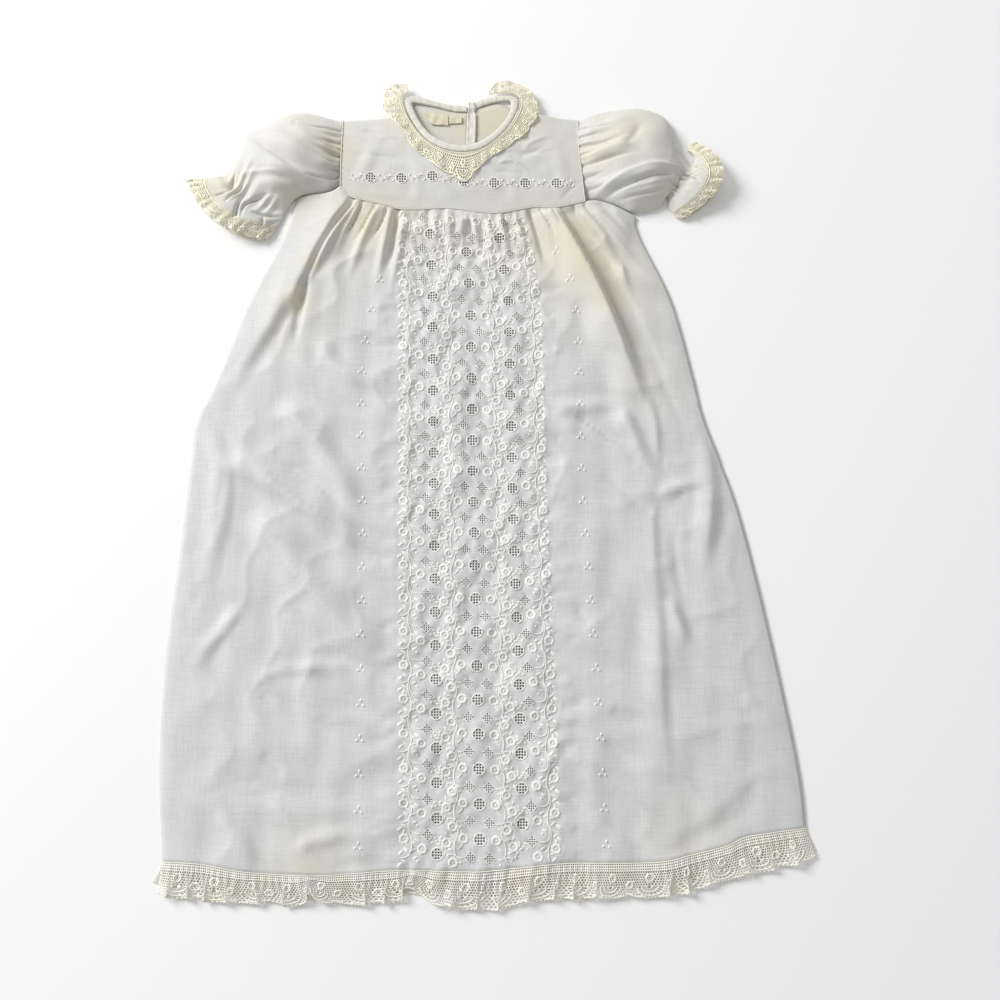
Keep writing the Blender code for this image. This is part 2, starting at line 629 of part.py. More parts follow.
def make_back_opening(cloth, pearl):
    """The placket strip over the slot, and the buttons in the slot under it."""
    half = PLACKET_WIDTH / 2
    edges = (OPENING_X - half, OPENING_X + half)
    plan = np.array([[(x, y) for x in edges] for y in (PLACKET_TOP_Y, PLACKET_BOTTOM_Y)])
    flat_panel("back_placket", plan, PANEL_FLOOR, cloth)
    for index in range(BUTTON_COUNT):
        y = PLACKET_TOP_Y - FIRST_BUTTON_DROP - index * BUTTON_STEP
        make_button(f"button_{index + 1}", y, pearl)


def make_binding(material):
    """The neck binding as a rounded band, open at the middle of the back."""
    rows = spline(NECK_BINDING, BINDING_STEPS)
    rows[:, 4] = np.maximum(rows[:, 4], 0)
    across = np.array([0, 0, 0.2, 0.8, 1, 1, 0.8, 0.2])
    up = np.array([0.3, 0.7, 1, 1, 0.7, 0.3, 0, 0]) * BINDING_THICKNESS
    inner = rows[:, None, :2]
    outer = rows[:, None, 2:4]
    plan = inner + (outer - inner) * across[None, :, None]
    height = rows[:, 4:5] + up[None, :]
    points = np.dstack([plan, height])
    sides = len(across)
    faces = [tuple(range(sides)), tuple(range((len(rows) - 1) * sides, len(rows) * sides))]
    for row in range(len(rows) - 1):
        for i in range(sides):
            j = (i + 1) % sides
            a = row * sides
            faces.append((a + i, a + j, a + sides + j, a + sides + i))
    solid("neck_binding", points.reshape(-1, 3), faces, material)
    return rows


def make_neck_lace(yoke, binding, material):
    """The gathered neck lace: it lies on the front yoke and stands free past the shoulders."""
    rows = spline(NECK_LACE, LACE_STEPS)
    nearest = [np.argmin(np.hypot(*(binding[:, 2:4] - row[:2]).T)) for row in rows]
    sewn_height = binding[nearest, 4] + BINDING_THICKNESS + 0.2
    across = np.linspace(0, 1, 5)
    surface = BVHTree.FromObject(yoke, bpy.context.evaluated_depsgraph_get())
    under = np.zeros((len(across), len(rows), 3))
    for i, share in enumerate(across):
        for j, row in enumerate(rows):
            x = row[0] + (row[2] - row[0]) * share
            y = row[1] + (row[3] - row[1]) * share
            height = sewn_height[j] + (row[4] - sewn_height[j]) * share
            below = surface.ray_cast(Vector((x * MM, y * MM, 0.1)), Vector((0, 0, -1)))[0]
            if below:
                clear = below.z / MM + LACE_CLEARANCE
                height = max(height, clear) if share < 0.3 else clear
            wave = 0.5 - 0.5 * math.cos(2 * math.pi * NECK_LACE_WAVES * j / (len(rows) - 1))
            under[i, j] = (x, y, height + NECK_LACE_WAVE_HEIGHT * wave * share)
    panel("neck_lace", under, thickened(under), material)


def make_hem_lace(skirt_front, skirt_back, material):
    """The gathered lace of the hem: the front half in waves, the back half flat on the surface."""
    columns = HEM_LACE_WAVES * WAVE_COLUMNS
    shares = np.linspace(0, 1, columns + 1)
    sewn = read_at(skirt_front[-1, ::2], shares) - (0, SEAM, 0)
    free = read_at(spline(FRONT_LACE_EDGE, CURVE_STEPS), shares)
    wave = 0.5 - 0.5 * np.cos(2 * np.pi * HEM_LACE_WAVES * shares)
    rows = []
    header = HEM_LACE_HEADER / HEM_LACE_DEPTH
    for down in (0, header, 0.6, 1):
        plan = sewn[:, :2] + (free - sewn[:, :2]) * down
        gathered = np.clip((down - header) / (1 - header), 0, 1)
        fall = PANEL_FLOOR - sewn[:, 2] + HEM_LACE_WAVE_HEIGHT * wave
        rows.append(with_height(plan, sewn[:, 2] + fall * gathered))
    under = np.array(rows)
    panel("hem_lace_front", under, thickened(under), material)

    back_shares = np.linspace(0, 1, BACK_LACE_COLUMNS + 1)
    sewn = read_at(skirt_back[-1], back_shares) - (0, SEAM, 0)
    free = with_height(read_at(spline(BACK_LACE_EDGE, CURVE_STEPS), back_shares), 0)
    under = np.array([sewn, (sewn + free) / 2, free])
    panel("hem_lace_back", under, under + (0, 0, CLOTH), material)


def section_ring(row):
    """One cross-section of a sleeve: a flat underside with a rounded puff over it."""
    shares = np.concatenate(
        [
            np.linspace(0, 1, SLEEVE_TOP_SIDES + 1),
            np.linspace(1, 0, SLEEVE_UNDER_SIDES + 1)[1:-1],
        ]
    )
    on_top = np.arange(len(shares)) <= SLEEVE_TOP_SIDES
    s = (0.5 * shares + 0.5 * (0.5 - 0.5 * np.cos(np.pi * shares)))[:, None]
    top, middle, low = row[0:2], row[2:4], row[4:6]
    control = 2 * middle - (top + low) / 2
    plan = (1 - s) ** 2 * top + 2 * s * (1 - s) * control + s**2 * low
    roundness = np.sqrt(np.clip(1 - (2 * s[:, 0] - 1) ** 2, 0, 1))
    edge = SLEEVE_EDGE_SHARE * row[6]
    puff = edge + (row[6] - edge) * roundness
    height = np.where(on_top, puff, edge * (1 - smooth_step(UNDERSIDE_ROUNDING * roundness)))
    return np.column_stack([plan, height]), s[:, 0], on_top


def sleeve_rings(sections, folds, elastic_row=None):
    """The outside of a sleeve or of its lace, with gathers at the armhole and at the elastic."""
    rows = spline(sections, SLEEVE_STEPS)
    rings = []
    for index, row in enumerate(rows):
        ring, s, on_top = section_ring(row)
        if elastic_row is not None:
            place = index / SLEEVE_STEPS
            at_cap = smooth_step(1 - place / CAP_REACH) * smooth_step(2 * place)
            at_elastic = smooth_step(1 - abs(place - elastic_row) / ELASTIC_REACH)
            gathers = at_cap * np.cos(2 * np.pi * CAP_GATHERS * s)
            gathers += at_elastic * np.cos(2 * np.pi * ELASTIC_GATHERS * s)
            fading = np.sin(np.pi * s) ** 0.5
            ring[:, 2] += np.where(on_top, GATHER_HEIGHT * gathers * fading, 0)
            ring[:, 2] += np.where(on_top, fold_lift(ring[:, 0], ring[:, 1], folds) * fading, 0)
        rings.append(ring)
    return np.array(rings)


def wall_inside(outside):
    """The inner side of a sleeve's wall. At both ends it stays in the cross-section of the sleeve."""
    normals = grid_normals(outside, closed=True)
    centres = outside.mean(axis=1, keepdims=True)
    outward = np.sign(np.sum(normals * (outside - centres), axis=(1, 2)))[:, None, None]
    normals *= outward
    for end in (0, -1):
        plan = outside[end, :, :2]
        run = np.roll(plan, -1, axis=0) - np.roll(plan, 1, axis=0)
        run[0] = plan[1] - plan[0]
        run[SLEEVE_TOP_SIDES] = plan[SLEEVE_TOP_SIDES] - plan[SLEEVE_TOP_SIDES - 1]
        away = np.column_stack([run[:, 1], -run[:, 0], np.zeros(len(run))])
        away /= np.linalg.norm(away, axis=1, keepdims=True)
        normals[end] -= np.sum(normals[end] * away, axis=1, keepdims=True) * away
        normals[end] /= np.linalg.norm(normals[end], axis=1, keepdims=True)
    return outside - CLOTH * normals


def make_sleeve(side, sections, folds, lace_sections, cloth, lace):
    """One puff sleeve with its frill, and the lace on the frill's edge."""
    outside = sleeve_rings(sections, folds, ARMHOLE_TO_ELASTIC[side])
    inside = wall_inside(outside)
    tube(f"sleeve_{side}", outside, inside, cloth)

    edging = sleeve_rings(lace_sections, [])
    rings, sides, _ = edging.shape
    down = np.linspace(0, 1, rings)[:, None]
    column = np.arange(sides)[None, :]
    wave = CUFF_LACE_WAVE_HEIGHT * down * np.sin(2 * np.pi * CUFF_LACE_WAVES * column / sides)
    edging[:, :, 2] += np.where(column <= SLEEVE_TOP_SIDES, wave, 0)
    edging_inside = wall_inside(edging)
    apart = edging[1] - outside[-1]
    apart[:, 2] = 0
    apart *= CUFF_SEAM / np.linalg.norm(apart, axis=1, keepdims=True)
    edging[0] = outside[-1] + apart
    edging_inside[0] = inside[-1] + apart
    tube(f"cuff_lace_{side}", edging, edging_inside, lace)


def make_label(name, corners, material):
    """A bare woven label on the inside of the back yoke. Its corners are the top two, then the bottom two."""
    flat_panel(name, np.array(corners).reshape(2, 2, 2), PANEL_FLOOR, material)


def main():
    for item in list(bpy.data.objects):
        bpy.data.objects.remove(item)
    lawn = paint("lawn", (0.80, 0.80, 0.77), 0.85)
    lace = paint("cream_lace", (0.84, 0.80, 0.66), 0.85)
    label = paint("label_tape", (0.78, 0.73, 0.60), 0.8)
    pearl = paint("pearl_button", (0.86, 0.85, 0.80), 0.25)

    skirt_front = make_skirt_front(lawn)
    skirt_back = make_skirt_back(lawn)
    binding = make_binding(lawn)
    yoke = make_yoke_front(skirt_front, binding, lawn)
    make_yoke_backs(skirt_back, binding, lawn)
    make_back_opening(lawn, pearl)
    make_neck_lace(yoke, binding, lace)
    make_hem_lace(skirt_front, skirt_back, lace)
    make_sleeve("left", LEFT_SLEEVE, LEFT_SLEEVE_FOLDS, LEFT_CUFF_LACE, lawn, lace)
    make_sleeve("right", RIGHT_SLEEVE, RIGHT_SLEEVE_FOLDS, RIGHT_CUFF_LACE, lawn, lace)
    make_label("label_main", LABEL_MAIN, label)
    make_label("label_size", LABEL_SIZE, label)


main()
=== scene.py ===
"""The looks of the christening gown: lawn in its folds, cutwork and raised embroidery, gathered lace,
seams, labels and light. Tables and sizes are in millimetres, and MM turns them into metres."""

import math
from collections import namedtuple

import bpy
import numpy as np
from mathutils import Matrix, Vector
from mathutils.bvhtree import BVHTree
from mathutils.geometry import delaunay_2d_cdt


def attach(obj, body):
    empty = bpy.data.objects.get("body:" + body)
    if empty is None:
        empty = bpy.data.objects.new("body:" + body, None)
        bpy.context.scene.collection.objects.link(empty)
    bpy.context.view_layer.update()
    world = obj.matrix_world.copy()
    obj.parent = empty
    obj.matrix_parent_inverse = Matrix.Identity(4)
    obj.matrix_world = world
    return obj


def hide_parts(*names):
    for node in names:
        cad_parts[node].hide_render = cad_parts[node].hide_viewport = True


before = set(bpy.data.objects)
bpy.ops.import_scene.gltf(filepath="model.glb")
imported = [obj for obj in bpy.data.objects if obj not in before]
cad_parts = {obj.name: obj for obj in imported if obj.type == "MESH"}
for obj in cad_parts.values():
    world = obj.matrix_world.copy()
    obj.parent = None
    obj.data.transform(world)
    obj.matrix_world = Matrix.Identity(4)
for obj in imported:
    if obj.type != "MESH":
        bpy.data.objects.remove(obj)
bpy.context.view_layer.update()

MM = 0.001

# Thicknesses, and the heights at which the panels lie
CLOTH = 1.0
PANEL_GAP = 0.3
PANEL_FLOOR = CLOTH + PANEL_GAP
PANEL_TOP = PANEL_FLOOR + CLOTH
BACK_TOP = CLOTH - 0.15
SHELL = 0.4
LACE_SHELL = 0.3
LABEL_SHELL = 0.35
THREAD_SUNK = 0.15

# Heights from which a cloth is looked for: straight down, and where a place lies past its edge
ABOVE_ALL = 90
EDGE_HEIGHT = 4

# Forms of the panels, as in the solids
SKIRT_LOFT = 2.0
SIDE_HUG_POWER = 10
ARMHOLE_BULGE = 2.2
NECK_EDGE_UP = 0.8
BINDING_THICKNESS = 2.6
LACE_CLEARANCE = 0.8
HEM_LACE_WAVES = 22
HEM_LACE_WAVE_HEIGHT = 2.6
HEM_LACE_LEAN = 3.3
BACK_LACE_HEIGHT = 0.7
NECK_LACE_WAVES = 15
NECK_LACE_WAVE_HEIGHT = 1.4
CUFF_LACE_WAVES = 9
CUFF_LACE_WAVE_HEIGHT = 1.4
OPENING_X = -12.9
OPENING_WIDTH = 6.0
PLACKET_WIDTH = 8.0
PLACKET_TOP_Y = 303.2
PLACKET_BOTTOM_Y = 218.5
CAP_GATHERS = 6
CAP_REACH = 2.2
ELASTIC_GATHERS = 7
ELASTIC_REACH = 1.6
ELASTIC_PINCH = 1.5
GATHER_HEIGHT = 1.1
GATHER_LOFT = 1.6
EDGE_DIP = 1.1
EDGE_DIP_POWER = 60
SEAM_CORD_RADIUS = 0.6

# Steps of the curves and the grids. A skirt's columns lie under the left arm, along the yoke and under
# the right arm, and its gathered top has closer rows
CURVE_STEPS = 16
FOLD_STEPS = 24
SKIRT_COLUMNS = (14, 160, 26)
SKIRT_PLEATED_ROWS = 44
SKIRT_PLAIN_ROWS = 128
PLEATED_SHARE = 0.13
SEAM_SMOOTHING = 400
GATHERED_ROWS = 5
SKIRT_BACK_COLUMNS = (8, 60, 12)
SKIRT_BACK_ROWS = 60
YOKE_ROWS = 48
BACK_YOKE_STEPS = 20
BINDING_STEPS = 8
BINDING_SIDES = 14
SLEEVE_STEPS = 12
SLEEVE_TOP_SIDES = 110
SLEEVE_UNDER_SIDES = 26
CUFF_LACE_STEPS = 10
NECK_LACE_STEPS = 24
NECK_LACE_ROWS = 12
HEM_LACE_COLUMNS = 700
HEM_LACE_ROWS = 12
BACK_LACE_COLUMNS = 300
BACK_LACE_ROWS = 6
LABEL_COLUMNS = 24
LABEL_ROWS = 12

# Embroidered panel: its centre line and its two edges at three heights, and the length of one repeat
REPEAT = 25.6
FIRST_EYELET_Y = 179.7
PANEL_LINES_Y = (215, 182, 139.6, -24.5, -178.9, -303)
PANEL_LEFT = (-70.9, -72, -71.3, -68.8, -66.4, -64.5)
PANEL_RIGHT = (30.8, 39.6, 45.9, 49.5, 55.2, 57.8)
ROW_SKEW = 0.15
ROW_SAG = 3.4
SAG_ROWS = 9
REPEATS = range(-2, 20)
LEAF_SCALE = 1.45

# Eyelets: the distance of their holes, the holes and the ring round them
LARGE_PITCH = 2.1
LARGE_HOLE = 0.74
LARGE_RING = 4.6
SMALL_PITCH = 1.6
SMALL_HOLE = 0.54
SMALL_REACH = 2.9 * SMALL_PITCH

# Net of the lace: the distance of its holes and their radius, and how much flatter its fans are than round
NET_PITCH = 1.76
NET_HOLE = 0.68
FAN_FLATNESS = 0.82
SCALLOP_DEPTH = 2.2
PICOT_PITCH = 1.5

Point = namedtuple("Point", "x y")
Fold = namedtuple("Fold", "x0 y0 x1 y1 x2 y2 height left right start")
Band = namedtuple("Band", "inner_x inner_y outer_x outer_y rise")
Section = namedtuple("Section", "top_x top_y mid_x mid_y low_x low_y height")
Motif = namedtuple("Motif", "across down")
Stem = namedtuple("Stem", "across0 down0 across1 down1 across2 down2")
Leaf = namedtuple("Leaf", "across down turn length width")
Lace = namedtuple("Lace", "width depth header repeats")
# A cream spot on the lawn, used both for yellowing and for painted shade
StainAndShadeSpot = namedtuple("StainAndShadeSpot", "x y reach strength")

YOKE_EYELETS = [
    Point(-94.8, 243.3), Point(-69.7, 242.8), Point(-44.1, 243.9), Point(-18.1, 238.8),
    Point(6.4, 237.8), Point(32, 238.3), Point(57.6, 238.3),
]

UNDERARM_LEFT = [Point(-155.7, 228.3), Point(-141, 230), Point(-126.2, 231.8), Point(-119.9, 236)]
YOKE_SEAM = [
    Point(-119.9, 236), Point(-112, 227.2), Point(-100.6, 223.9), Point(-81.6, 219.6),
    Point(-70.9, 216.4), Point(-56.1, 216.1), Point(-30.7, 216.9), Point(5.4, 212.6),
    Point(38.2, 217.6), Point(57, 217.8), Point(80.9, 223.4),
]
UNDERARM_RIGHT = [Point(80.9, 223.4), Point(94.8, 223.5), Point(122.5, 211.7)]
LEFT_SIDE = [
    Point(-155.7, 228.3), Point(-165.3, 194.4), Point(-191, 139.6), Point(-215.6, 72.7),
    Point(-229.2, 39.9), Point(-232.5, 7.5), Point(-237.3, -56.2), Point(-245, -148.7),
    Point(-245.5, -230), Point(-239.7, -298),
]
RIGHT_SIDE = [
    Point(122.5, 211.7), Point(124.6, 194.4), Point(149.3, 139.6), Point(165.9, 72.7), Point(173.5, 39),
    Point(195.2, -24.5), Point(210, -87.4), Point(227.7, -178.9), Point(237.1, -238),
    Point(239.3, -273.6),
]
HEM = [
    Point(-239.7, -298), Point(-212.9, -299.1), Point(-175.6, -305.1), Point(-124.4, -307.2),
    Point(-63, -303.8), Point(-3.7, -304.4), Point(55.6, -299), Point(124.6, -298), Point(151.5, -293),
    Point(178.4, -286.5), Point(196.5, -279.4), Point(239.3, -273.6),
]
FRONT_LACE_EDGE = [
    Point(-242.2, -321.4), Point(-191, -326.7), Point(-159.3, -327.1), Point(-138.6, -328.5),
    Point(-128, -319.5), Point(-113.5, -327.1), Point(-70.8, -327.1), Point(-54.7, -317.2),
    Point(-38.3, -328.5), Point(-5.1, -332), Point(8.2, -332), Point(40.6, -325), Point(92.3, -323.5),
    Point(136.6, -322.1), Point(157.4, -317.2), Point(186.5, -308.7), Point(221.6, -301.6),
    Point(246.4, -295.1),
]
BACK_LACE_EDGE = [
    Point(-247.8, -313), Point(-190, -321), Point(-120, -324.5), Point(-60, -321.5), Point(0, -322),
    Point(56, -316.5), Point(125, -316), Point(180, -304), Point(246.8, -290),
]
SHOULDER_LEFT = [
    Point(-119.5, 295.6), Point(-100, 296.2), Point(-82, 297.6), Point(-74, 301.5), Point(-67.6, 304),
]
SHOULDER_RIGHT = [
    Point(26.6, 304.8), Point(33, 302.8), Point(43.2, 301.2), Point(61, 297.7), Point(76, 296.5),
]
ARMHOLE_LEFT = [Point(-119.6, 236.3), Point(-119.6, 266), Point(-119.5, 295.6)]
ARMHOLE_RIGHT = [Point(80.7, 223.7), Point(76.5, 266.2), Point(76, 296.5)]

# Largest folds of the skirt: a ridge through three points of the plan, its height, the reach of its
# flanks to the left and to the right of its run, and the share of its height at the first point
SKIRT_FOLDS = [
    # gathers at the yoke seam, left of the panel
    Fold(-114, 223, -154, 150, -217, 44, 7.0, 10, 30, 0.45),
    Fold(-101, 222, -113, 202, -127, 171, 2.4, 5, 5, 0.45),
    Fold(-88, 218, -101, 190, -114, 152, 2.6, 6, 6, 0.45),
    Fold(-77, 215, -83, 186, -92, 139, 2.2, 5.5, 6, 0.45),
    Fold(-67, 213, -71, 181, -79, 139, 2.6, 6, 4.5, 0.45),
    # gathers on the panel
    Fold(-42, 215, -42, 196, -44, 176, 1.6, 5, 5, 0.5),
    Fold(-31, 214, -30, 194, -27, 171, 2.2, 5, 5, 0.5),
    Fold(-21, 213, -21, 194, -20, 171, 2.0, 4.5, 4.5, 0.5),
    Fold(-11, 212, -9, 197, -5, 176, 2.2, 5, 5, 0.5),
    Fold(1, 210, 2, 197, 4, 181, 1.8, 5, 5, 0.5),
    Fold(11, 210, 14, 197, 18, 178, 2.4, 5, 5, 0.5),
    Fold(22, 212, 27, 197, 32, 178, 2.4, 5, 5, 0.5),
    Fold(36, 214, 42, 194, 48, 164, 3.2, 6, 6, 0.5),
    # gathers right of the panel
    Fold(53, 214, 95, 136, 132, 26, 9.5, 8, 26, 0.5),
    Fold(74, 216, 93, 192, 114, 148, 3.4, 9, 6, 0.45),
    Fold(85, 221, 104, 203, 122, 184, 3.0, 8, 7, 0.45),
    Fold(100, 219, 112, 206, 121, 190, 2.0, 6, 6, 0.3),
    # left half of the skirt
    Fold(-228, 35, -206, -25, -235, -134, 4.5, 12, 16, 0),
    Fold(-215, 11, -153, -22, -72, -77, 5.0, 24, 13, 0),
    Fold(-171, 54, -129, 16, -90, -55, 4.0, 16, 12, 0),
    Fold(-185, -31, -134, -95, -66, -166, 6.0, 30, 20, 0),
    Fold(-189, -109, -209, -134, -228, -165, 2.6, 9, 9, 0),
    Fold(-208, -240, -138, -248, -67, -241, -1.6, 14, 12, 0),
    Fold(-132, 109, -114, 79, -69, 66, 3.0, 12, 10, 0),
    Fold(-149, -156, -118, -153, -102, -161, 2.0, 9, 9, 0),
    Fold(-137, -292, -123, -280, -78, -277, 2.0, 9, 10, 0),
    Fold(-202, -258, -182, -281, -169, -301, 2.0, 10, 10, 0),
    # right half of the skirt
    Fold(50, 48, 79, 51, 102, 49, 3.4, 8, 11, 0),
    Fold(102, 49, 117, 23, 129, -11, 4.2, 12, 10, 0),
    Fold(68, 39, 88, 23, 117, 13, -1.8, 9, 9, 0),
    Fold(133, -22, 154, -14, 177, -14, 3.2, 9, 10, 0),
    Fold(133, -69, 133, -171, 139, -263, 2.2, 9, 16, 0),
    Fold(140, -100, 148, -120, 156, -140, 2.8, 9, 9, 0),
    Fold(174, 33, 176, -25, 164, -91, 6.0, 11, 16, 0),
    Fold(185, -1, 191, -29, 179, -60, -2.0, 9, 9, 0),
    Fold(193, -173, 211, -188, 230, -200, 2.4, 9, 9, 0),
    Fold(59, -216, 75, -227, 88, -236, 2.0, 9, 9, 0),
    Fold(58, -242, 95, -261, 126, -294, -1.6, 12, 12, 0),
    Fold(126, -296, 175, -271, 225, -236, -1.6, 12, 12, 0),
]
YOKE_FOLDS = [
    Fold(-104, 232, -98, 258, -84, 286, 1.2, 9, 9, 0.4),
    Fold(60, 222, 62, 252, 52, 288, 1.2, 9, 9, 0.4),
    Fold(-60, 222, -56, 240, -58, 260, 0.8, 8, 8, 0.4),
    Fold(24, 220, 22, 240, 26, 262, 0.8, 8, 8, 0.4),
]
LEFT_SLEEVE_FOLDS = [
    Fold(-122, 246, -152, 262, -186, 284, 4.0, 9, 12, 0),
    Fold(-124, 262, -146, 276, -170, 292, 2.6, 8, 8, 0),
    Fold(-134, 238, -166, 246, -202, 262, 3.4, 9, 9, 0),
    Fold(-150, 234, -172, 234, -192, 240, 2.6, 7, 7, 0),
]
RIGHT_SLEEVE_FOLDS = [
    Fold(84, 232, 120, 240, 160, 250, 4.2, 9, 10, 0),
    Fold(100, 228, 128, 228, 152, 238, 3.4, 7, 8, 0),
    Fold(80, 262, 104, 266, 128, 278, 2.8, 9, 9, 0),
    Fold(80, 282, 98, 288, 118, 298, 2.2, 7, 7, 0),
]

# Neck binding from the left end of its opening, round the left neck point, the front and the right
# neck point: the edge at the hole, the edge away from it and the height of the underside
NECK_BINDING = [
    Band(-16.9, 303.9, -17.3, 310.9, 0.0),
    Band(-27, 304.6, -28, 310.8, 0.0),
    Band(-41.4, 308.3, -42, 313.8, 0.3),
    Band(-54, 310.8, -56.6, 318.2, 0.9),
    Band(-60.4, 311.7, -65.4, 318.6, 1.4),
    Band(-61.8, 310.6, -69.2, 315, 1.8),
    Band(-61.1, 307.2, -68.3, 308.2, 2.5),
    Band(-59.2, 302.6, -66.2, 301.6, 3.2),
    Band(-54.6, 292.9, -59.9, 289.6, 4.4),
    Band(-46.2, 282.2, -49.8, 276.8, 5.4),
    Band(-33.2, 274.3, -34.6, 267.8, 6.2),
    Band(-20.4, 271.6, -18.2, 265.3, 6.4),
    Band(-7.6, 274.6, -3, 269, 6.2),
    Band(4.8, 283, 9.6, 278.8, 5.4),
    Band(13.6, 292.9, 19.2, 290.6, 4.4),
    Band(18.6, 302.4, 24.8, 302.6, 3.2),
    Band(19.8, 308.6, 26.6, 309.4, 2.5),
    Band(19.4, 312.7, 26, 315, 1.8),
    Band(16.6, 313.6, 20.4, 318.5, 1.4),
    Band(10, 312.9, 10, 318.6, 0.9),
    Band(1.1, 310.9, -0.6, 317.2, 0.3),
    Band(-9.2, 306.8, -10.6, 313.2, 0.0),
]
LEFT_BACK_NECK_END = 4
FRONT_NECK_START = 7
FRONT_NECK_END = 15
RIGHT_BACK_NECK_START = 19

# Neck lace from the back right, round the front to the back left: its sewn edge, its free edge and
# the height of the free edge where no panel lies under it
NECK_LACE = [
    Band(2, 318.6, 1.4, 322.4, 3.0),
    Band(11.4, 319.6, 12, 330.8, 3.6),
    Band(21.8, 319.2, 30, 326.6, 3.8),
    Band(27, 315.4, 40, 317, 3.8),
    Band(27.5, 309.2, 43.4, 303, 3.6),
    Band(25.7, 302.4, 39.6, 292.8, 3.4),
    Band(20, 290.1, 30.4, 279.6, 3.4),
    Band(10.1, 278.1, 13, 266, 3.4),
    Band(-2.8, 268, -2.6, 254.2, 3.4),
    Band(-18.1, 264.3, -16.9, 238.2, 3.4),
    Band(-34.9, 266.9, -36, 247.8, 3.4),
    Band(-50.5, 276.1, -58.6, 266.6, 3.4),
    Band(-60.8, 289.1, -70.4, 285.6, 3.4),
    Band(-67.1, 301.4, -83.8, 302.6, 3.6),
    Band(-69.3, 308.2, -87, 312.4, 3.8),
    Band(-70.2, 315.4, -81.4, 326, 3.8),
    Band(-65.6, 319.6, -66.6, 328.2, 3.4),
]

# Sleeves from the armhole to the frill's edge: the fold at the top, the middle and the fold at the
# underarm in the plan, and the height of the puff
LEFT_SLEEVE = [
    Section(-119.9, 295.2, -120, 266, -120.2, 238, 6.4),
    Section(-134.6, 299.4, -133, 266, -129, 232.4, 12),
    Section(-151, 302.8, -148, 264, -141, 231, 17),
    Section(-169, 299.6, -163, 258, -151, 229.7, 19),
    Section(-187.5, 290, -175, 250, -158.4, 225.4, 18),
    Section(-203.4, 280.6, -186, 240, -162.4, 219, 14),
    Section(-212.8, 251, -196, 227.6, -164.8, 215.2, 8.6),
    Section(-222, 247, -203.4, 220.4, -167.4, 209, 11.5),
    Section(-230, 245.4, -211, 213.4, -171, 203, 13),
]
LEFT_CUFF_LACE = [
    Section(-230.3, 245.4, -211.3, 213.2, -171.1, 202.6, 13),
    Section(-239.8, 244.8, -217, 209.6, -175, 196.6, 13.6),
    Section(-248.4, 244, -221.4, 205.4, -181, 190.4, 12.4),
]
RIGHT_SLEEVE = [
    Section(76.4, 296, 77, 262, 81.4, 225, 6.4),
    Section(90, 302.2, 91, 262, 94, 224.9, 12),
    Section(108, 305.2, 108, 262, 107, 220, 17),
    Section(128, 306.4, 126, 260, 118, 215, 19),
    Section(146, 300, 139, 257, 127, 215.6, 18),
    Section(153.8, 287.4, 148, 253, 136, 217.2, 15),
    Section(157, 273, 153.6, 247, 143.6, 221.6, 12),
    Section(169.6, 258.4, 160.8, 241, 148.4, 229.6, 8.6),
    Section(170.8, 264.4, 170.4, 240.4, 149.6, 221, 11.5),
    Section(166.4, 270, 179.4, 241, 152.4, 214.6, 13),
]
RIGHT_CUFF_LACE = [
    Section(166.5, 270.4, 179.8, 241, 152.6, 214.2, 13),
    Section(168, 275, 187.6, 242, 155.6, 210.8, 13.6),
    Section(172.4, 277.4, 194, 242.4, 161.4, 209, 12.4),
]
ARMHOLE_TO_ELASTIC = {"left": 6, "right": 7}
SLEEVE_EDGE_SHARE = 0.3
UNDERSIDE_ROUNDING = 2.4

LABEL_MAIN = [Point(-52.2, 305), Point(-32, 301.2), Point(-46.3, 292.9), Point(-32, 292.2)]
LABEL_SIZE = [Point(-31.4, 300.9), Point(-20.6, 300.1), Point(-31.4, 293.6), Point(-20.6, 294.2)]

# The deep valleys between the gathers under the yoke
SKIRT_VALLEYS = [
    Fold(-110, 223, -136, 180, -150, 142, -5.5, 4, 4.5, 0.7),
    Fold(-146, 160, -150, 134, -154, 96, -5.0, 4.5, 4.5, 0),
    Fold(-150, 152, -157, 128, -171, 84, 2.4, 7, 7, 0),
    Fold(-139, 166, -143, 140, -145, 108, 2.8, 14, 6, 0),
    Fold(-157, 142, -176, 104, -212, 44, -3.0, 14, 8, 0),
    Fold(-73, 214, -76, 188, -82, 158, -4.5, 3, 6, 0.8),
    Fold(35, 215, 42, 193, 49, 164, -5.0, 8, 5, 0.8),
    Fold(64, 217, 103, 142, 139, 44, -7.0, 16, 5.5, 0.7),
    Fold(84, 198, 99, 178, 134, 162, -2.5, 10, 10, 0),
]

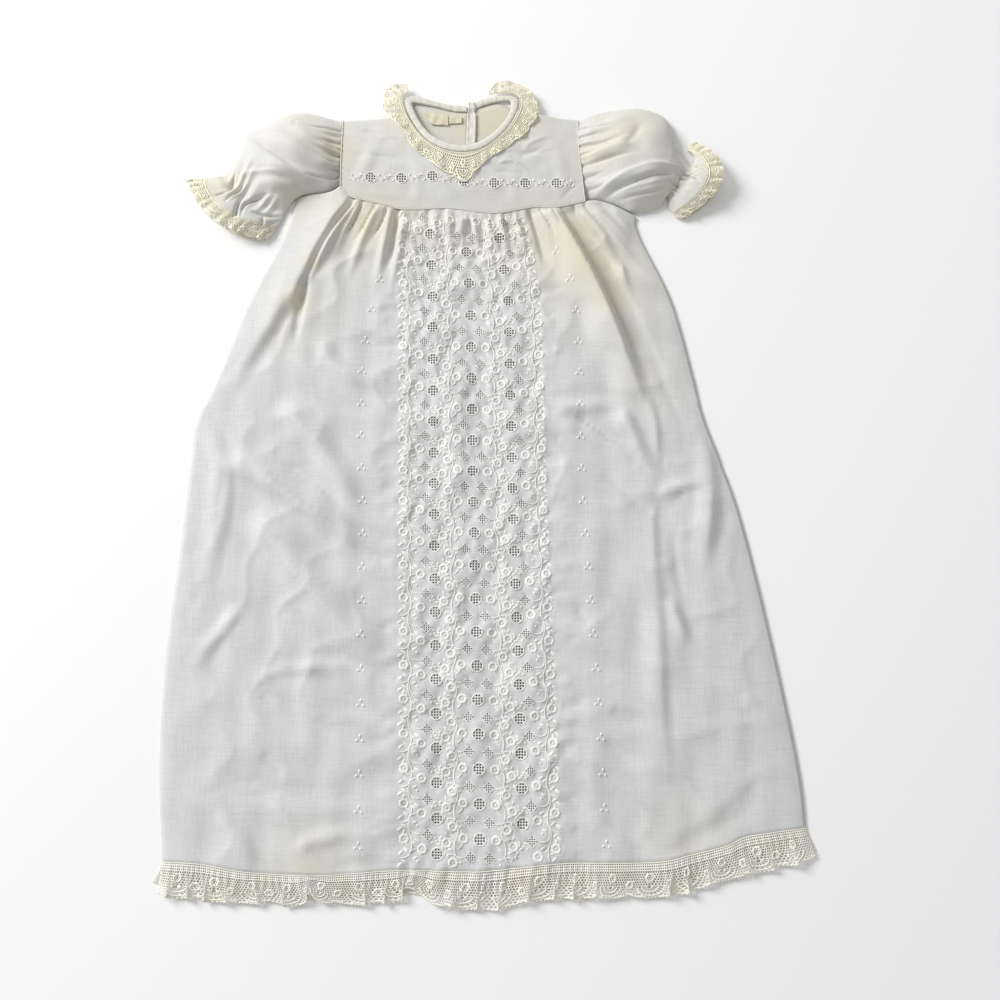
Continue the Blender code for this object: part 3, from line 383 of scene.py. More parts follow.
# Sharp creases that only the looks have, in the same columns: a positive height is a ridge
SKIRT_CREASES = [
    # under the yoke on the left
    Fold(-105, 222, -129, 186, -145, 146, 2.2, 9, 3.5, 0.6),
    Fold(-106, 223, -113, 211, -121, 202, 2.0, 2.5, 2.5, 1),
    Fold(-101, 222, -109, 204, -119, 190, -2.8, 2.6, 2.6, 1),
    Fold(-91, 219, -99, 203, -109, 186, -2.8, 2.6, 2.6, 1),
    Fold(-82, 216, -86, 203, -96, 187, -2.8, 2.6, 2.6, 1),
    Fold(-73, 213, -77, 192, -80, 165, -3.2, 3, 3, 1),
    # in the top of the embroidered panel
    Fold(-48, 214, -48, 204, -51, 194, -1.3, 2.2, 2.2, 1),
    Fold(-30, 213, -30, 204, -33, 196, -1.5, 2.0, 2.0, 1),
    Fold(-22, 209, -21, 192, -23, 178, -2.2, 2.2, 2.2, 1),
    Fold(-14, 210, -12, 196, -8, 182, -2.2, 2.2, 2.2, 1),
    Fold(1, 210, 9, 190, 14, 177, -2.0, 2.2, 2.2, 1),
    Fold(14, 211, 18, 196, 22, 182, -2.0, 2.2, 2.2, 1),
    Fold(21, 212, 26, 197, 33, 182, -2.0, 2.2, 2.2, 1),
    # under the yoke on the right
    Fold(35, 214, 42, 193, 48, 168, -4.2, 3.5, 3.5, 1),
    Fold(44, 215, 51, 203, 57, 189, -2.6, 2.6, 2.6, 1),
    Fold(53, 217, 58, 207, 63, 198, -2.2, 2.2, 2.2, 1),
    Fold(110, 178, 114, 138, 129, 84, 3.0, 7, 6, 0),
    Fold(84, 218, 106, 190, 140, 150, 2.4, 10, 6, 0.3),
    Fold(71, 218, 83, 192, 99, 170, -3.2, 3, 3, 1),
    Fold(80, 220, 94, 202, 107, 187, -2.4, 3, 3, 1),
    Fold(93, 221, 106, 214, 117, 204, -1.8, 3, 3, 0.6),
    # over the plain cloth
    Fold(-217, 70, -207, 80, -194, 94, -3.0, 7, 7, 0),
    Fold(-222, 57, -214, 66, -210, 71, 2.4, 7, 7, 0),
    Fold(-158, 22, -130, 10, -110, -14, -2.0, 9, 9, 0),
    Fold(-198, 138, -168, 100, -124, 67, -1.8, 9, 9, 0),
    Fold(89, -2, 120, -29, 166, -72, -2.0, 9, 9, 0),
    Fold(123, 113, 142, 71, 160, 22, -2.2, 9, 9, 0),
    Fold(70, 45, 88, 32, 112, 16, -2.8, 7, 7, 0),
    # the long creases beside the panel on the left
    Fold(-106, -58, -86, -70, -69, -77, -2.2, 8, 8, 0.4),
    Fold(-162, 5, -131, -13, -99, -45, -2.2, 12, 10, 0),
    Fold(-108, -42, -88, -51, -68, -58, -2.0, 8, 8, 0.4),
    Fold(-178, -45, -147, -83, -104, -130, -2.8, 10, 20, 0),
    Fold(-207, 8, -207, -23, -215, -74, -2.4, 7, 7, 0.2),
    Fold(-231, 41, -219, 46, -200, 38, -2.4, 8, 8, 0),
    Fold(-216, -87, -226, -105, -236, -124, -2.0, 9, 9, 0),
    # the crossing creases on the right
    Fold(102, 51, 110, 33, 119, 18, -2.2, 9, 7, 0),
    Fold(114, 16, 123, 2, 131, -10, -2.2, 8, 8, 0.2),
    Fold(128, 57, 134, 35, 135, -4, 2.6, 6, 9, 0.4),
    Fold(146, -22, 162, -17, 180, -17, -2.0, 9, 9, 0),
    Fold(132, -26, 131, -58, 131, -108, 1.8, 5, 10, 0),
    Fold(150, -43, 148, -77, 156, -112, -2.6, 8, 8, 0),
    Fold(70, -107, 76, -117, 84, -123, -2.0, 8, 8, 0.2),
    # above the hem on the left
    Fold(-125, -141, -92, -154, -66, -167, -2.2, 9, 16, 0),
    Fold(-173, -166, -145, -155, -109, -166, 1.9, 10, 9, 0),
    Fold(-183, -167, -169, -176, -158, -186, -1.7, 8, 8, 0),
    Fold(-211, -244, -182, -247, -153, -250, -2.0, 12, 8, 0),
    Fold(-156, -245, -115, -252, -75, -256, -2.2, 16, 8, 0),
    Fold(-170, -219, -158, -229, -152, -242, -1.9, 8, 8, 0),
    Fold(-94, -208, -78, -210, -66, -208, -1.8, 9, 9, 0.4),
    Fold(-108, -299, -83, -297, -63, -290, -1.8, 9, 9, 0.4),
    # above the hem on the right
    Fold(56, -183, 68, -182, 78, -177, -2.0, 9, 9, 0.4),
    Fold(94, -186, 107, -192, 124, -197, -1.8, 10, 9, 0),
    Fold(90, -206, 100, -218, 112, -230, -1.8, 9, 9, 0),
    Fold(60, -215, 71, -227, 87, -234, -2.0, 9, 9, 0.4),
    Fold(60, -248, 72, -260, 90, -264, -2.0, 9, 9, 0.4),
    Fold(88, -262, 106, -276, 120, -294, -2.0, 9, 10, 0),
    Fold(173, -269, 191, -252, 212, -238, -2.0, 11, 11, 0),
]
YOKE_CREASES = [
    Fold(-104, 286, -90, 282, -76, 273, -2.0, 4, 3, 0),
    Fold(-91, 279, -81, 280, -73, 277, 1.2, 4, 4, 0),
    Fold(8, 254, 22, 257, 36, 247, 1.9, 3, 2.6, 0),
    Fold(6, 248, 22, 247, 34, 242, -1.2, 4, 4, 0),
    Fold(30, 268, 40, 276, 56, 282, 1.8, 5, 4, 0),
    Fold(26, 262, 38, 266, 52, 274, -1.6, 4, 4, 0),
    Fold(60, 223, 68, 232, 77, 240, -1.8, 3, 2.5, 0),
    Fold(-116, 251, -107, 244, -99, 236, -1.3, 3, 3, 0),
    Fold(-112, 265, -88, 262, -55, 257, -1.2, 4, 4, 0),
    Fold(-108, 232, -80, 228, -46, 224, 0.9, 5, 5, 0),
    Fold(11, 267, 36, 265, 72, 269, -1.2, 4, 4, 0),
]
LEFT_SLEEVE_CREASES = [
    # the gathers of the cap
    Fold(-121, 285, -134, 286, -153, 287, -2.6, 2.4, 2.4, 1),
    Fold(-121, 279, -128, 280, -136, 281, -1.4, 1.8, 1.8, 1),
    Fold(-121, 273, -127, 274, -137, 275, -2.2, 2.2, 2.2, 1),
    Fold(-121, 268, -127, 269, -134, 270, -1.4, 1.8, 1.8, 1),
    Fold(-120, 262, -130, 264, -150, 272, -2.6, 2.4, 2.4, 1),
    Fold(-120, 255, -128, 256, -136, 258, -1.6, 1.8, 1.8, 1),
    Fold(-120, 249, -125, 250, -132, 250, -2.2, 2.2, 2.2, 1),
    # across the puff
    Fold(-194, 278, -167, 256, -143, 242, -3.4, 6, 5, 0.2),
    Fold(-146, 243, -133, 242, -119, 243, -2.4, 2.4, 2.4, 0.5),
    Fold(-206, 243, -184, 245, -155, 238, 2.4, 4, 6, 0),
    Fold(-158, 294, -158, 288, -156, 284, -1.4, 2.5, 2.5, 0),
    # from the elastic into the puff and down the frill
    Fold(-222, 226, -215, 228, -209, 232, -2.4, 2.6, 2.6, 0.3),
    Fold(-210, 231, -208, 242, -206, 254, -3.2, 3, 3, 0.6),
    Fold(-212, 221, -206, 229, -194, 240, -2.6, 2.4, 2.4, 0.4),
    Fold(-204, 202, -202, 217, -197, 230, -4.0, 3.4, 3.4, 0.6),
    Fold(-199, 209, -191, 223, -166, 228, -3.4, 3, 2.6, 0.4),
    Fold(-189, 212, -175, 210, -162, 213, -4.5, 3, 4, 0.5),
    Fold(-182, 209, -182, 202, -181, 194, -3.0, 2.6, 2.6, 0.6),
    Fold(-179, 201, -172, 206, -164, 210, -4.0, 4, 4, 0.4),
]
RIGHT_SLEEVE_CREASES = [
    # the gathers of the cap
    Fold(76, 288, 93, 287, 110, 290, -2.2, 2.6, 2.6, 1),
    Fold(76, 280, 85, 280, 95, 281, -1.8, 2.2, 2.2, 1),
    Fold(76, 272, 96, 272, 120, 280, -2.6, 2.8, 3.5, 1),
    Fold(76, 263, 85, 264, 96, 265, -1.8, 2.2, 2.2, 1),
    Fold(75, 254, 93, 256, 131, 263, -2.8, 2.8, 3.5, 1),
    Fold(77, 244, 86, 244, 100, 248, -2.0, 2.4, 2.4, 1),
    Fold(79, 232, 90, 234, 103, 238, -1.8, 2.4, 2.4, 1),
    # across the puff
    Fold(84, 224, 126, 248, 167, 248, 3.4, 4, 8, 0.2),
    Fold(93, 224, 130, 239, 162, 245, -3.6, 4, 3, 0.2),
    Fold(106, 228, 130, 234, 151, 240, 2.8, 4, 5, 0.2),
    Fold(106, 223, 130, 227, 150, 234, -3.0, 3, 3, 0.2),
    Fold(112, 267, 122, 278, 127, 290, -2.2, 7, 7, 0),
    Fold(93, 222, 111, 215, 120, 209, -1.6, 2, 2, 0.5),
    # the shirring at the elastic
    Fold(150, 238, 157, 235, 163, 227, -2.4, 2, 2, 0.5),
    Fold(156, 232, 159, 243, 167, 251, -2.4, 2, 2, 0.5),
    Fold(162, 248, 169, 243, 176, 236, -2.4, 2, 2, 0.5),
    Fold(167, 254, 175, 251, 182, 244, -2.2, 2, 2, 0.5),
]

# One repeat of the panel's right half: places across in shares of the half width, and down in repeats
LARGE_EYELETS = [Motif(0, 0), Motif(0.522, 0.48)]
SMALL_EYELETS = [Motif(0.118, 0.52), Motif(0.636, -0.04)]
FLOWERS = [Motif(0.2, 0.0), Motif(0.33, 0.69), Motif(0.405, 0.15), Motif(0.706, 0.37), Motif(0.925, 0.115)]
STEMS = [
    # the winding inner stem with its branches
    Stem(0.288, -0.5, 0.262, -0.25, 0.288, 0),
    Stem(0.288, 0, 0.314, 0.25, 0.288, 0.5),
    Stem(0.288, 0.5, 0.24, 0.54, 0.2, 0.53),
    Stem(0.288, 0.5, 0.34, 0.46, 0.4, 0.47),
    Stem(0.2, 0.1, 0.23, 0.22, 0.27, 0.3),
    Stem(0.288, 0.42, 0.31, 0.5, 0.33, 0.58),
    Stem(0.3, 0.02, 0.34, -0.06, 0.4, -0.03),
    # the outer stem with its branches
    Stem(0.85, -0.5, 0.872, -0.25, 0.85, 0),
    Stem(0.85, 0, 0.828, 0.25, 0.85, 0.5),
    Stem(0.76, 0.38, 0.85, 0.46, 0.85, 0.66),
    Stem(0.85, 0.66, 0.83, 0.9, 0.72, 0.95),
    Stem(0.85, 0.5, 0.9, 0.62, 0.98, 0.66),
    Stem(0.85, 0.3, 0.9, 0.25, 0.925, 0.22),
]
LEAVES = [
    Leaf(0.455, 0.3, 60, 3.0, 1.3),
    Leaf(0.36, 0.32, 20, 3.2, 1.3),
    Leaf(0.43, 0.44, 95, 2.6, 1.2),
    Leaf(0.39, 0.5, 80, 2.6, 1.2),
    Leaf(0.48, 0.02, 120, 3.0, 1.3),
    Leaf(0.41, -0.1, 70, 3.0, 1.3),
    Leaf(0.5, 0.19, 20, 3.0, 1.3),
    Leaf(0.345, 0.0, 150, 2.6, 1.2),
    Leaf(0.76, 0.14, 30, 4.0, 1.6),
    Leaf(0.81, 0.2, 35, 3.6, 1.5),
    Leaf(0.79, 0.62, 160, 3.4, 1.5),
    Leaf(0.9, 0.42, 40, 4.2, 1.8),
    Leaf(0.965, 0.5, 140, 4.2, 1.8),
    Leaf(0.92, 0.75, 35, 4.6, 1.6),
    Leaf(0.975, 0.84, 145, 4.2, 1.8),
    Leaf(0.93, 0.92, 100, 3.0, 1.5),
]
KNOTS = [
    Motif(0.48, 0.1), Motif(0.53, 0.12), Motif(0.55, 0.03), Motif(0.58, 0.17), Motif(0.76, 0.72),
    Motif(0.24, -0.32),
]

# Three-knot sprigs on the plain cloth: the columns beside the panel, from the yoke to the hem
SPRIGS_LEFT = [
    Point(-86.2, 156.6), Point(-97.3, 103.5), Point(-98.9, 29.3), Point(-95.8, -46.7), Point(-94.5, -285.8),
]
SPRIGS_RIGHT = [
    Point(56.7, 179.7), Point(72.4, 129.5), Point(76.1, -24.5), Point(85.6, -175.9), Point(90, -284.4),
]

# Lace as flat strips: the width of a repeat, the depth, the depth of the heading and the repeats
HEM_LACE = Lace(27, 22, 5, 18)
NECK_LACE_TRIM = Lace(20, 16, 2, 15)
CUFF_LACE_TRIM = Lace(18, 15, 2, 10)

# Colours, mixed by the finishes
LAWN_WHITE = (0.685, 0.685, 0.682, 1)
# The cream of the lawn, also used as painted shade in the gathers and the neck hole
LAWN_CREAM_AND_SHADE = (0.67, 0.625, 0.48, 1)
LAWN_GREY = (0.565, 0.57, 0.575, 1)
THREAD_WHITE = (0.81, 0.81, 0.795, 1)
THREAD_CREAM = (0.8, 0.765, 0.655, 1)
LACE_CREAM = (0.86, 0.83, 0.72, 1)
LACE_PALE = (0.9, 0.89, 0.83, 1)
LACE_YELLOW = (0.89, 0.84, 0.62, 1)
BINDING_CREAM = (0.68, 0.655, 0.57, 1)
BINDING_PALE = (0.76, 0.745, 0.69, 1)
LABEL_IVORY = (0.68, 0.61, 0.44, 1)
LABEL_PALE = (0.77, 0.72, 0.58, 1)
PEARL_GREY = (0.8, 0.79, 0.74, 1)
PEARL_WHITE = (0.88, 0.87, 0.84, 1)
FLOOR_WHITE = (0.93, 0.93, 0.93, 1)

# Cream spots of the lawn: where it has yellowed, and painted shade in the valleys of the gathers and in the
# neck hole. Each gives the place of the plan, the reach and the strength
YELLOWING_AND_PAINTED_SHADE = [
    # round the yoke and the gathers: yellowing, with painted shade where the gathers fold
    StainAndShadeSpot(-100, 205, 62, 1.0), StainAndShadeSpot(-58, 205, 40, 0.5), StainAndShadeSpot(60, 190, 70, 1.0), StainAndShadeSpot(100, 150, 70, 0.7),
    StainAndShadeSpot(0, 205, 50, 0.35), StainAndShadeSpot(-122, 266, 34, 0.7), StainAndShadeSpot(-150, 280, 50, 0.5), StainAndShadeSpot(84, 262, 40, 0.6),
    StainAndShadeSpot(120, 280, 50, 0.6), StainAndShadeSpot(-70, 290, 36, 0.5), StainAndShadeSpot(40, 290, 36, 0.5), StainAndShadeSpot(-160, 225, 40, 0.7),
    StainAndShadeSpot(140, 225, 34, 0.6), StainAndShadeSpot(-215, 235, 40, 0.7), StainAndShadeSpot(170, 250, 36, 0.6),
    # painted shade, khaki, in the valleys of the gathers
    StainAndShadeSpot(70, 197, 18, 0.8), StainAndShadeSpot(86, 168, 20, 0.9), StainAndShadeSpot(100, 138, 22, 0.9), StainAndShadeSpot(111, 108, 22, 0.6),
    StainAndShadeSpot(122, 74, 22, 0.3), StainAndShadeSpot(-140, 170, 20, 0.8), StainAndShadeSpot(-152, 140, 22, 0.8), StainAndShadeSpot(-168, 108, 22, 0.3),
    # painted shade in the neck hole, and cream patches near the hem and beside the gathers
    StainAndShadeSpot(-20, 298, 46, 1.2), StainAndShadeSpot(5, 300, 30, 0.8), StainAndShadeSpot(-130, -300, 50, 0.6), StainAndShadeSpot(150, -290, 60, 0.35),
    StainAndShadeSpot(130, 80, 60, 0.25), StainAndShadeSpot(-150, 130, 60, 0.25),
]

# Camera and light, in metres, degrees and watts. The camera's focal length is in pixels of the photo
FOCAL_PIXELS = 1145
PHOTO_PIXELS = 1000
SENSOR_WIDTH = 36
CAMERA_DISTANCE = 0.9
CAMERA_TILT = 10
CAMERA_TARGET = (0.0111, -0.024, 0)
WORLD_LIGHT = 0.5
WINDOW_LIGHT = 120
WINDOW_SIZE = 1.6
WINDOW_PLACE = (-2.5, 1.66, 1.88)
FLOOR_HALF = 4
FLOOR_HEIGHT = -0.0004


def spline(rows, steps):
    """The rows joined by a Catmull-Rom curve, with this many steps from each row to the next."""
    points = np.array([tuple(row) for row in rows], float)
    padded = np.vstack([2 * points[0] - points[1], points, 2 * points[-1] - points[-2]])
    found = []
    for before, start, end, after in zip(padded, padded[1:], padded[2:], padded[3:]):
        for step in range(steps):
            t = step / steps
            found.append(
                0.5
                * (
                    2 * start
                    + (end - before) * t
                    + (2 * before - 5 * start + 4 * end - after) * t**2
                    + (3 * start - before - 3 * end + after) * t**3
                )
            )
    found.append(points[-1])
    return np.array(found)


def curve_through(start, middle, end, t):
    """A bend from start to end that passes its middle point, read at the shares in the column t."""
    control = 2 * middle - (start + end) / 2
    return (1 - t) ** 2 * start + 2 * t * (1 - t) * control + t**2 * end


def read_at(curve, shares):
    """Points of a curve at the given shares of its length in the plan."""
    lengths = np.hypot(*np.diff(curve[:, :2], axis=0).T)
    along = np.concatenate([[0], np.cumsum(lengths)]) / lengths.sum()
    return np.column_stack([np.interp(shares, along, axis) for axis in curve.T])


def smooth_line(points, count):
    """A smooth curve through plan points, read at even steps."""
    return read_at(spline(points, CURVE_STEPS), np.linspace(0, 1, count + 1))


def with_height(curve, height):
    """The plan points of a curve at this height, or at a height each."""
    return np.column_stack([curve[:, :2], np.broadcast_to(height, len(curve))])


def patch(top, bottom, left, right, down=None):
    """A grid inside four edges: its rows run from top to bottom, at the shares in down."""
    u = np.linspace(0, 1, len(top))[None, :, None]
    v = (np.linspace(0, 1, len(left)) if down is None else down)[:, None, None]
    ruled_down = (1 - v) * top[None] + v * bottom[None]
    ruled_across = (1 - u) * left[:, None] + u * right[:, None]
    along_top = (1 - u) * top[0] + u * top[-1]
    along_bottom = (1 - u) * bottom[0] + u * bottom[-1]
    return ruled_down + ruled_across - (1 - v) * along_top - v * along_bottom


def smooth_step(share):
    """A soft rise from nought to one."""
    share = np.clip(share, 0, 1)
    return share * share * (3 - 2 * share)


def fold_lift(x, y, folds, sharp=False, rise_share=0.22, fall_share=0.45):
    """The height that folds add at each point of the plan. A sharp one has an edge along its middle."""
    lift = np.zeros_like(x)
    t = np.linspace(0, 1, FOLD_STEPS + 1)[:, None]
    for fold in folds:
        run = curve_through(*np.array(fold[:6], float).reshape(3, 2), t)
        nearest = np.full(x.shape, np.inf)
        side = np.zeros_like(x)
        along = np.zeros_like(x)
        for index in range(len(run) - 1):
            a = run[index]
            step = run[index + 1] - a
            share = ((x - a[0]) * step[0] + (y - a[1]) * step[1]) / (step @ step)
            share = np.clip(share, 0, 1)
            away_x = x - a[0] - share * step[0]
            away_y = y - a[1] - share * step[1]
            distance = np.hypot(away_x, away_y)
            closer = distance < nearest
            nearest = np.where(closer, distance, nearest)
            side = np.where(closer, np.sign(step[0] * away_y - step[1] * away_x), side)
            along = np.where(closer, (index + share) / (len(run) - 1), along)
        reach = np.where(side > 0, fold.left, fold.right)
        near = np.clip(nearest / reach, 0, 1)
        across = (1 - near) ** 2 if sharp else 0.5 + 0.5 * np.cos(np.pi * near)
        start_share = fold.start + (1 - fold.start) * smooth_step(along / rise_share)
        end_share = smooth_step((1 - along) / fall_share)
        lift += fold.height * across * start_share * end_share
    return lift


def above_zero(height, softness=0.5):
    """Heights kept above nought with a soft bend."""
    return 0.5 * (height + np.sqrt(height**2 + softness**2))


def grid_normals(grid):
    """Unit normals of a grid of points."""
    normals = np.cross(np.gradient(grid, axis=0), np.gradient(grid, axis=1))
    return normals / np.linalg.norm(normals, axis=2, keepdims=True)


def yoke_columns(columns):
    """The columns of a skirt's grid that are sewn to the yoke."""
    return slice(columns[0], columns[0] + columns[1] + 1)


def skirt_plan(columns, shares):
    """The outline of a skirt panel filled with a grid, from the yoke seam down to the hem."""
    edges = (UNDERARM_LEFT, YOKE_SEAM, UNDERARM_RIGHT)
    left, yoke, right = (smooth_line(edge, count) for edge, count in zip(edges, columns))
    top = np.vstack([left, yoke[1:], right[1:]])
    hem = smooth_line(HEM, sum(columns))
    left = read_at(spline(LEFT_SIDE, CURVE_STEPS), shares)
    right = read_at(spline(RIGHT_SIDE, CURVE_STEPS), shares)
    return patch(top, hem, left, right, shares)


def moved_out(curve, distance):
    """A plan curve moved to the right of its run."""
    run = np.gradient(curve, axis=0)
    run /= np.linalg.norm(run, axis=1, keepdims=True)
    return curve + distance * np.column_stack([run[:, 1], -run[:, 0]])


def rumple(x, y, seed, longest, height):
    """Uneven swells of the cloth: a sum of waves that run every way."""
    random = np.random.default_rng(seed)
    total = np.zeros_like(x)
    count = 16
    for _ in range(count):
        turn, phase = random.uniform(0, 2 * math.pi, 2)
        length = longest * random.uniform(0.35, 1)
        total += np.sin(2 * math.pi * (x * math.cos(turn) + y * math.sin(turn)) / length + phase)
    return height * total / math.sqrt(count / 2)


def grid_at(grid, across, down):
    """Points of a grid at shares of its columns and rows."""
    rows, columns = grid.shape[:2]
    column = np.clip(across, 0, 1) * (columns - 1)
    row = np.clip(down, 0, 1) * (rows - 1)
    i = np.minimum(column.astype(int), columns - 2)
    j = np.minimum(row.astype(int), rows - 2)
    s = (column - i)[:, None]
    t = (row - j)[:, None]
    upper = (1 - s) * grid[j, i] + s * grid[j, i + 1]
    lower = (1 - s) * grid[j + 1, i] + s * grid[j + 1, i + 1]
    return (1 - t) * upper + t * lower


def grid_faces(rows, columns, closed=False):
    """The quads of a grid whose points are stored row by row. A closed grid's rows run round in rings."""
    index = np.arange(rows * columns).reshape(rows, columns)
    if closed:
        index = np.hstack([index, index[:, :1]])
    quads = [index[:-1, :-1], index[:-1, 1:], index[1:, 1:], index[1:, :-1]]
    return np.stack(quads, axis=2).reshape(-1, 4)


class Ground:
    """What thread work lies on: it turns two coordinates and a lift into a point."""

    def __init__(self, grid):
        self.grid = grid
        normals = grid_normals(grid)
        self.normals = normals * np.sign(normals[:, :, 2:] + 1e-9)

    def place(self, across, down, lift):
        point = grid_at(self.grid, across, down)
        normal = grid_at(self.normals, across, down)
        return point + lift[:, None] * normal


class Plan(Ground):
    """A cloth read by its plan: the two coordinates are x and y."""

    def __init__(self, grid):
        faces = grid_faces(*grid.shape[:2])
        self.tree = BVHTree.FromPolygons(grid.reshape(-1, 3).tolist(), faces.tolist())

    def covered_height(self, x, y):
        """The height of the cloth at a place, or None where it doesn't reach."""
        point = self.tree.ray_cast(Vector((x, y, ABOVE_ALL)), Vector((0, 0, -1)))[0]
        return None if point is None else point.z

    def height(self, x, y):
        """The height of the cloth at a place, or at its edge nearest to it."""
        found = self.covered_height(x, y)
        return self.tree.find_nearest(Vector((x, y, EDGE_HEIGHT)))[0].z if found is None else found

    def place(self, x, y, lift):
        heights = np.array([self.height(*place) for place in zip(x, y)])
        return np.column_stack([x, y, heights + lift])


def add_piece(name, data, material):
    """A piece of the gown from its mesh or curve."""
    data.materials.append(material)
    piece = bpy.data.objects.new(name, data)
    bpy.context.collection.objects.link(piece)
    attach(piece, "root")
    return piece


def make_mesh(name, points, faces, material):
    """A smooth piece from points in millimetres."""
    mesh = bpy.data.meshes.new(name)
    mesh.from_pydata((np.asarray(points) * MM).tolist(), [], [tuple(map(int, face)) for face in faces])
    mesh.shade_smooth()
    return add_piece(name, mesh, material)


def make_cloth(name, node, points, faces, material, thickness=SHELL, round_piece=False):
    """A piece of cloth in place of its solid. Its outer side faces up, or away from a round piece's middle,
    and its thickness goes inwards from there."""
    piece = make_mesh(name, points, faces, material)
    mesh = piece.data
    mesh.update()
    normals = np.array([face.normal for face in mesh.polygons])
    if round_piece:
        centres = np.array([face.center for face in mesh.polygons])
        outward = np.sum(normals * (centres - np.mean(points, axis=0) * MM))
    else:
        outward = normals[:, 2].sum()
    if outward < 0:
        mesh.flip_normals()
    wall = piece.modifiers.new("cloth", "SOLIDIFY")
    wall.thickness = thickness * MM
    wall.offset = -1
    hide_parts(node)
    return piece


def inside_polygon(points, polygon):
    """Which points lie in a polygon."""
    x, y = points.T
    inside = np.zeros(len(points), bool)
    for (x0, y0), (x1, y1) in zip(polygon, np.roll(polygon, -1, axis=0)):
        if y0 == y1:
            continue
        crosses = (y0 > y) != (y1 > y)
        inside ^= crosses & (x < x0 + (y - y0) * (x1 - x0) / (y1 - y0))
    return inside


def pierced(outline, holes, points, keep_off=0.5):
    """A flat outline as triangles, with holes cut through it and with the given points that keep off them."""
    clear = np.ones(len(points), bool)
    for hole in holes:
        centre = hole.mean(axis=0)
        reach = np.hypot(*(hole[0] - centre)) + keep_off
        near = abs(points[:, 0] - centre[0]) < reach
        near[near] = np.hypot(*(points[near] - centre).T) < reach
        clear &= ~near
    vertices = [outline]
    edges = [(i, (i + 1) % len(outline)) for i in range(len(outline))]
    owner = [np.full(len(outline), -1)]
    first = len(outline)
    for index, hole in enumerate(holes):
        vertices.append(hole)
        edges += [(first + i, first + (i + 1) % len(hole)) for i in range(len(hole))]
        owner.append(np.full(len(hole), index))
        first += len(hole)
    vertices.append(points[clear])
    owner.append(np.full(clear.sum(), -2))
    owner = np.concatenate(owner)
    found = delaunay_2d_cdt(np.vstack(vertices).tolist(), edges, [], 0, 1e-6)
    vertices = np.array([tuple(vertex) for vertex in found[0]])
    faces = np.array(found[2])
    owner = np.array([owner[origin[0]] if origin else -2 for origin in found[3]])
    corners = owner[faces]
    in_hole = (corners[:, 0] >= 0) & (corners[:, 0] == corners[:, 1]) & (corners[:, 1] == corners[:, 2])
    on_outline = (corners == -1).all(axis=1)
    outside = np.zeros(len(faces), bool)
    outside[on_outline] = ~inside_polygon(vertices[faces[on_outline]].mean(axis=1), outline)
    return vertices, faces[~(in_hole | outside)]


def round_hole(x, y, radius, sides=6, turn=0):
    """A small hole as a polygon."""
    angle = turn + np.arange(sides) * 2 * math.pi / sides
    return np.column_stack([x + radius * np.cos(angle), y + radius * np.sin(angle)])


class Stitches:
    """Raised thread work on one ground, gathered into one mesh."""

    def __init__(self, ground, scale=(1, 1)):
        self.ground = ground
        self.scale = scale
        self.points = []
        self.lifts = []
        self.faces = []
        self.count = 0

    def add(self, points, lifts, faces):
        self.points.append(points)
        self.lifts.append(np.broadcast_to(lifts, len(points)))
        self.faces += [tuple(self.count + i for i in face) for face in faces]
        self.count += len(points)

    def band(self, middle, away, width, rise, closed):
        """A rounded band along a line: away is the unit direction across it at each point."""
        across = np.array([-0.5, -0.28, 0.28, 0.5])
        lifts = np.array([-THREAD_SUNK, 1, 1, -THREAD_SUNK])
        points = middle[:, None] + away[:, None] * (across[None, :] * width[:, None])[:, :, None]
        heights = np.where(lifts > 0, rise[:, None] * lifts, lifts)
        faces = []
        for row in range(len(middle) - 1):
            faces += [(4 * row + i, 4 * row + i + 1, 4 * row + i + 5, 4 * row + i + 4) for i in range(3)]
        if closed:
            last = 4 * (len(middle) - 1)
            faces += [(last + i, last + i + 1, i + 1, i) for i in range(3)]
        self.add(points.reshape(-1, 2), heights.ravel(), faces)

    def ring(self, centre, radius, width, rise, sides=16, lobes=0):
        """A stitched ring. A flower's ring has lobes on its outer side."""
        angle = np.arange(sides) * 2 * math.pi / sides
        away = np.column_stack([np.cos(angle), np.sin(angle)])
        petal = 0.5 + 0.5 * np.cos(lobes * angle) if lobes else np.ones(sides)
        widths = width * (0.72 + 0.28 * petal)
        radii = radius - width / 2 + widths / 2
        self.band(centre + away * radii[:, None], away, widths, rise * (0.75 + 0.25 * petal), True)

    def line(self, points, width, rise, taper=0.5):
        """A stem or a cord along a line, thinner at its ends."""
        run = np.gradient(points, axis=0)
        run /= np.linalg.norm(run, axis=1, keepdims=True)
        away = np.column_stack([run[:, 1], -run[:, 0]])
        share = np.linspace(0, 1, len(points))
        ends = 1 - (1 - taper) * abs(2 * share - 1) ** 4
        self.band(points, away, width * ends, rise * ends, False)

    def leaf(self, centre, turn, length, width, rise, sides=8):
        """A padded leaf, or a knot where its length is its width."""
        angle = np.arange(sides) * 2 * math.pi / sides
        along = np.array([math.cos(turn), math.sin(turn)])
        aside = np.array([-along[1], along[0]])
        rim = np.cos(angle)[:, None] * along * length / 2 + np.sin(angle)[:, None] * aside * width / 2
        points = np.vstack([centre + rim, centre + 0.62 * rim, [centre]])
        lifts = np.concatenate([np.full(sides, -THREAD_SUNK), np.full(sides, 0.8 * rise), [rise]])
        faces = [(i, (i + 1) % sides, sides + (i + 1) % sides, sides + i) for i in range(sides)]
        faces += [(sides + i, sides + (i + 1) % sides, 2 * sides) for i in range(sides)]
        self.add(points, lifts, faces)

    def knot(self, centre, radius, rise):
        self.leaf(centre, 0, 2 * radius, 2 * radius, rise, sides=6)

    def make(self, name, material):
        plan = np.vstack(self.points) * self.scale
        points = self.ground.place(plan[:, 0], plan[:, 1], np.concatenate(self.lifts))
        piece = make_mesh(name, points, self.faces, material)
        return piece


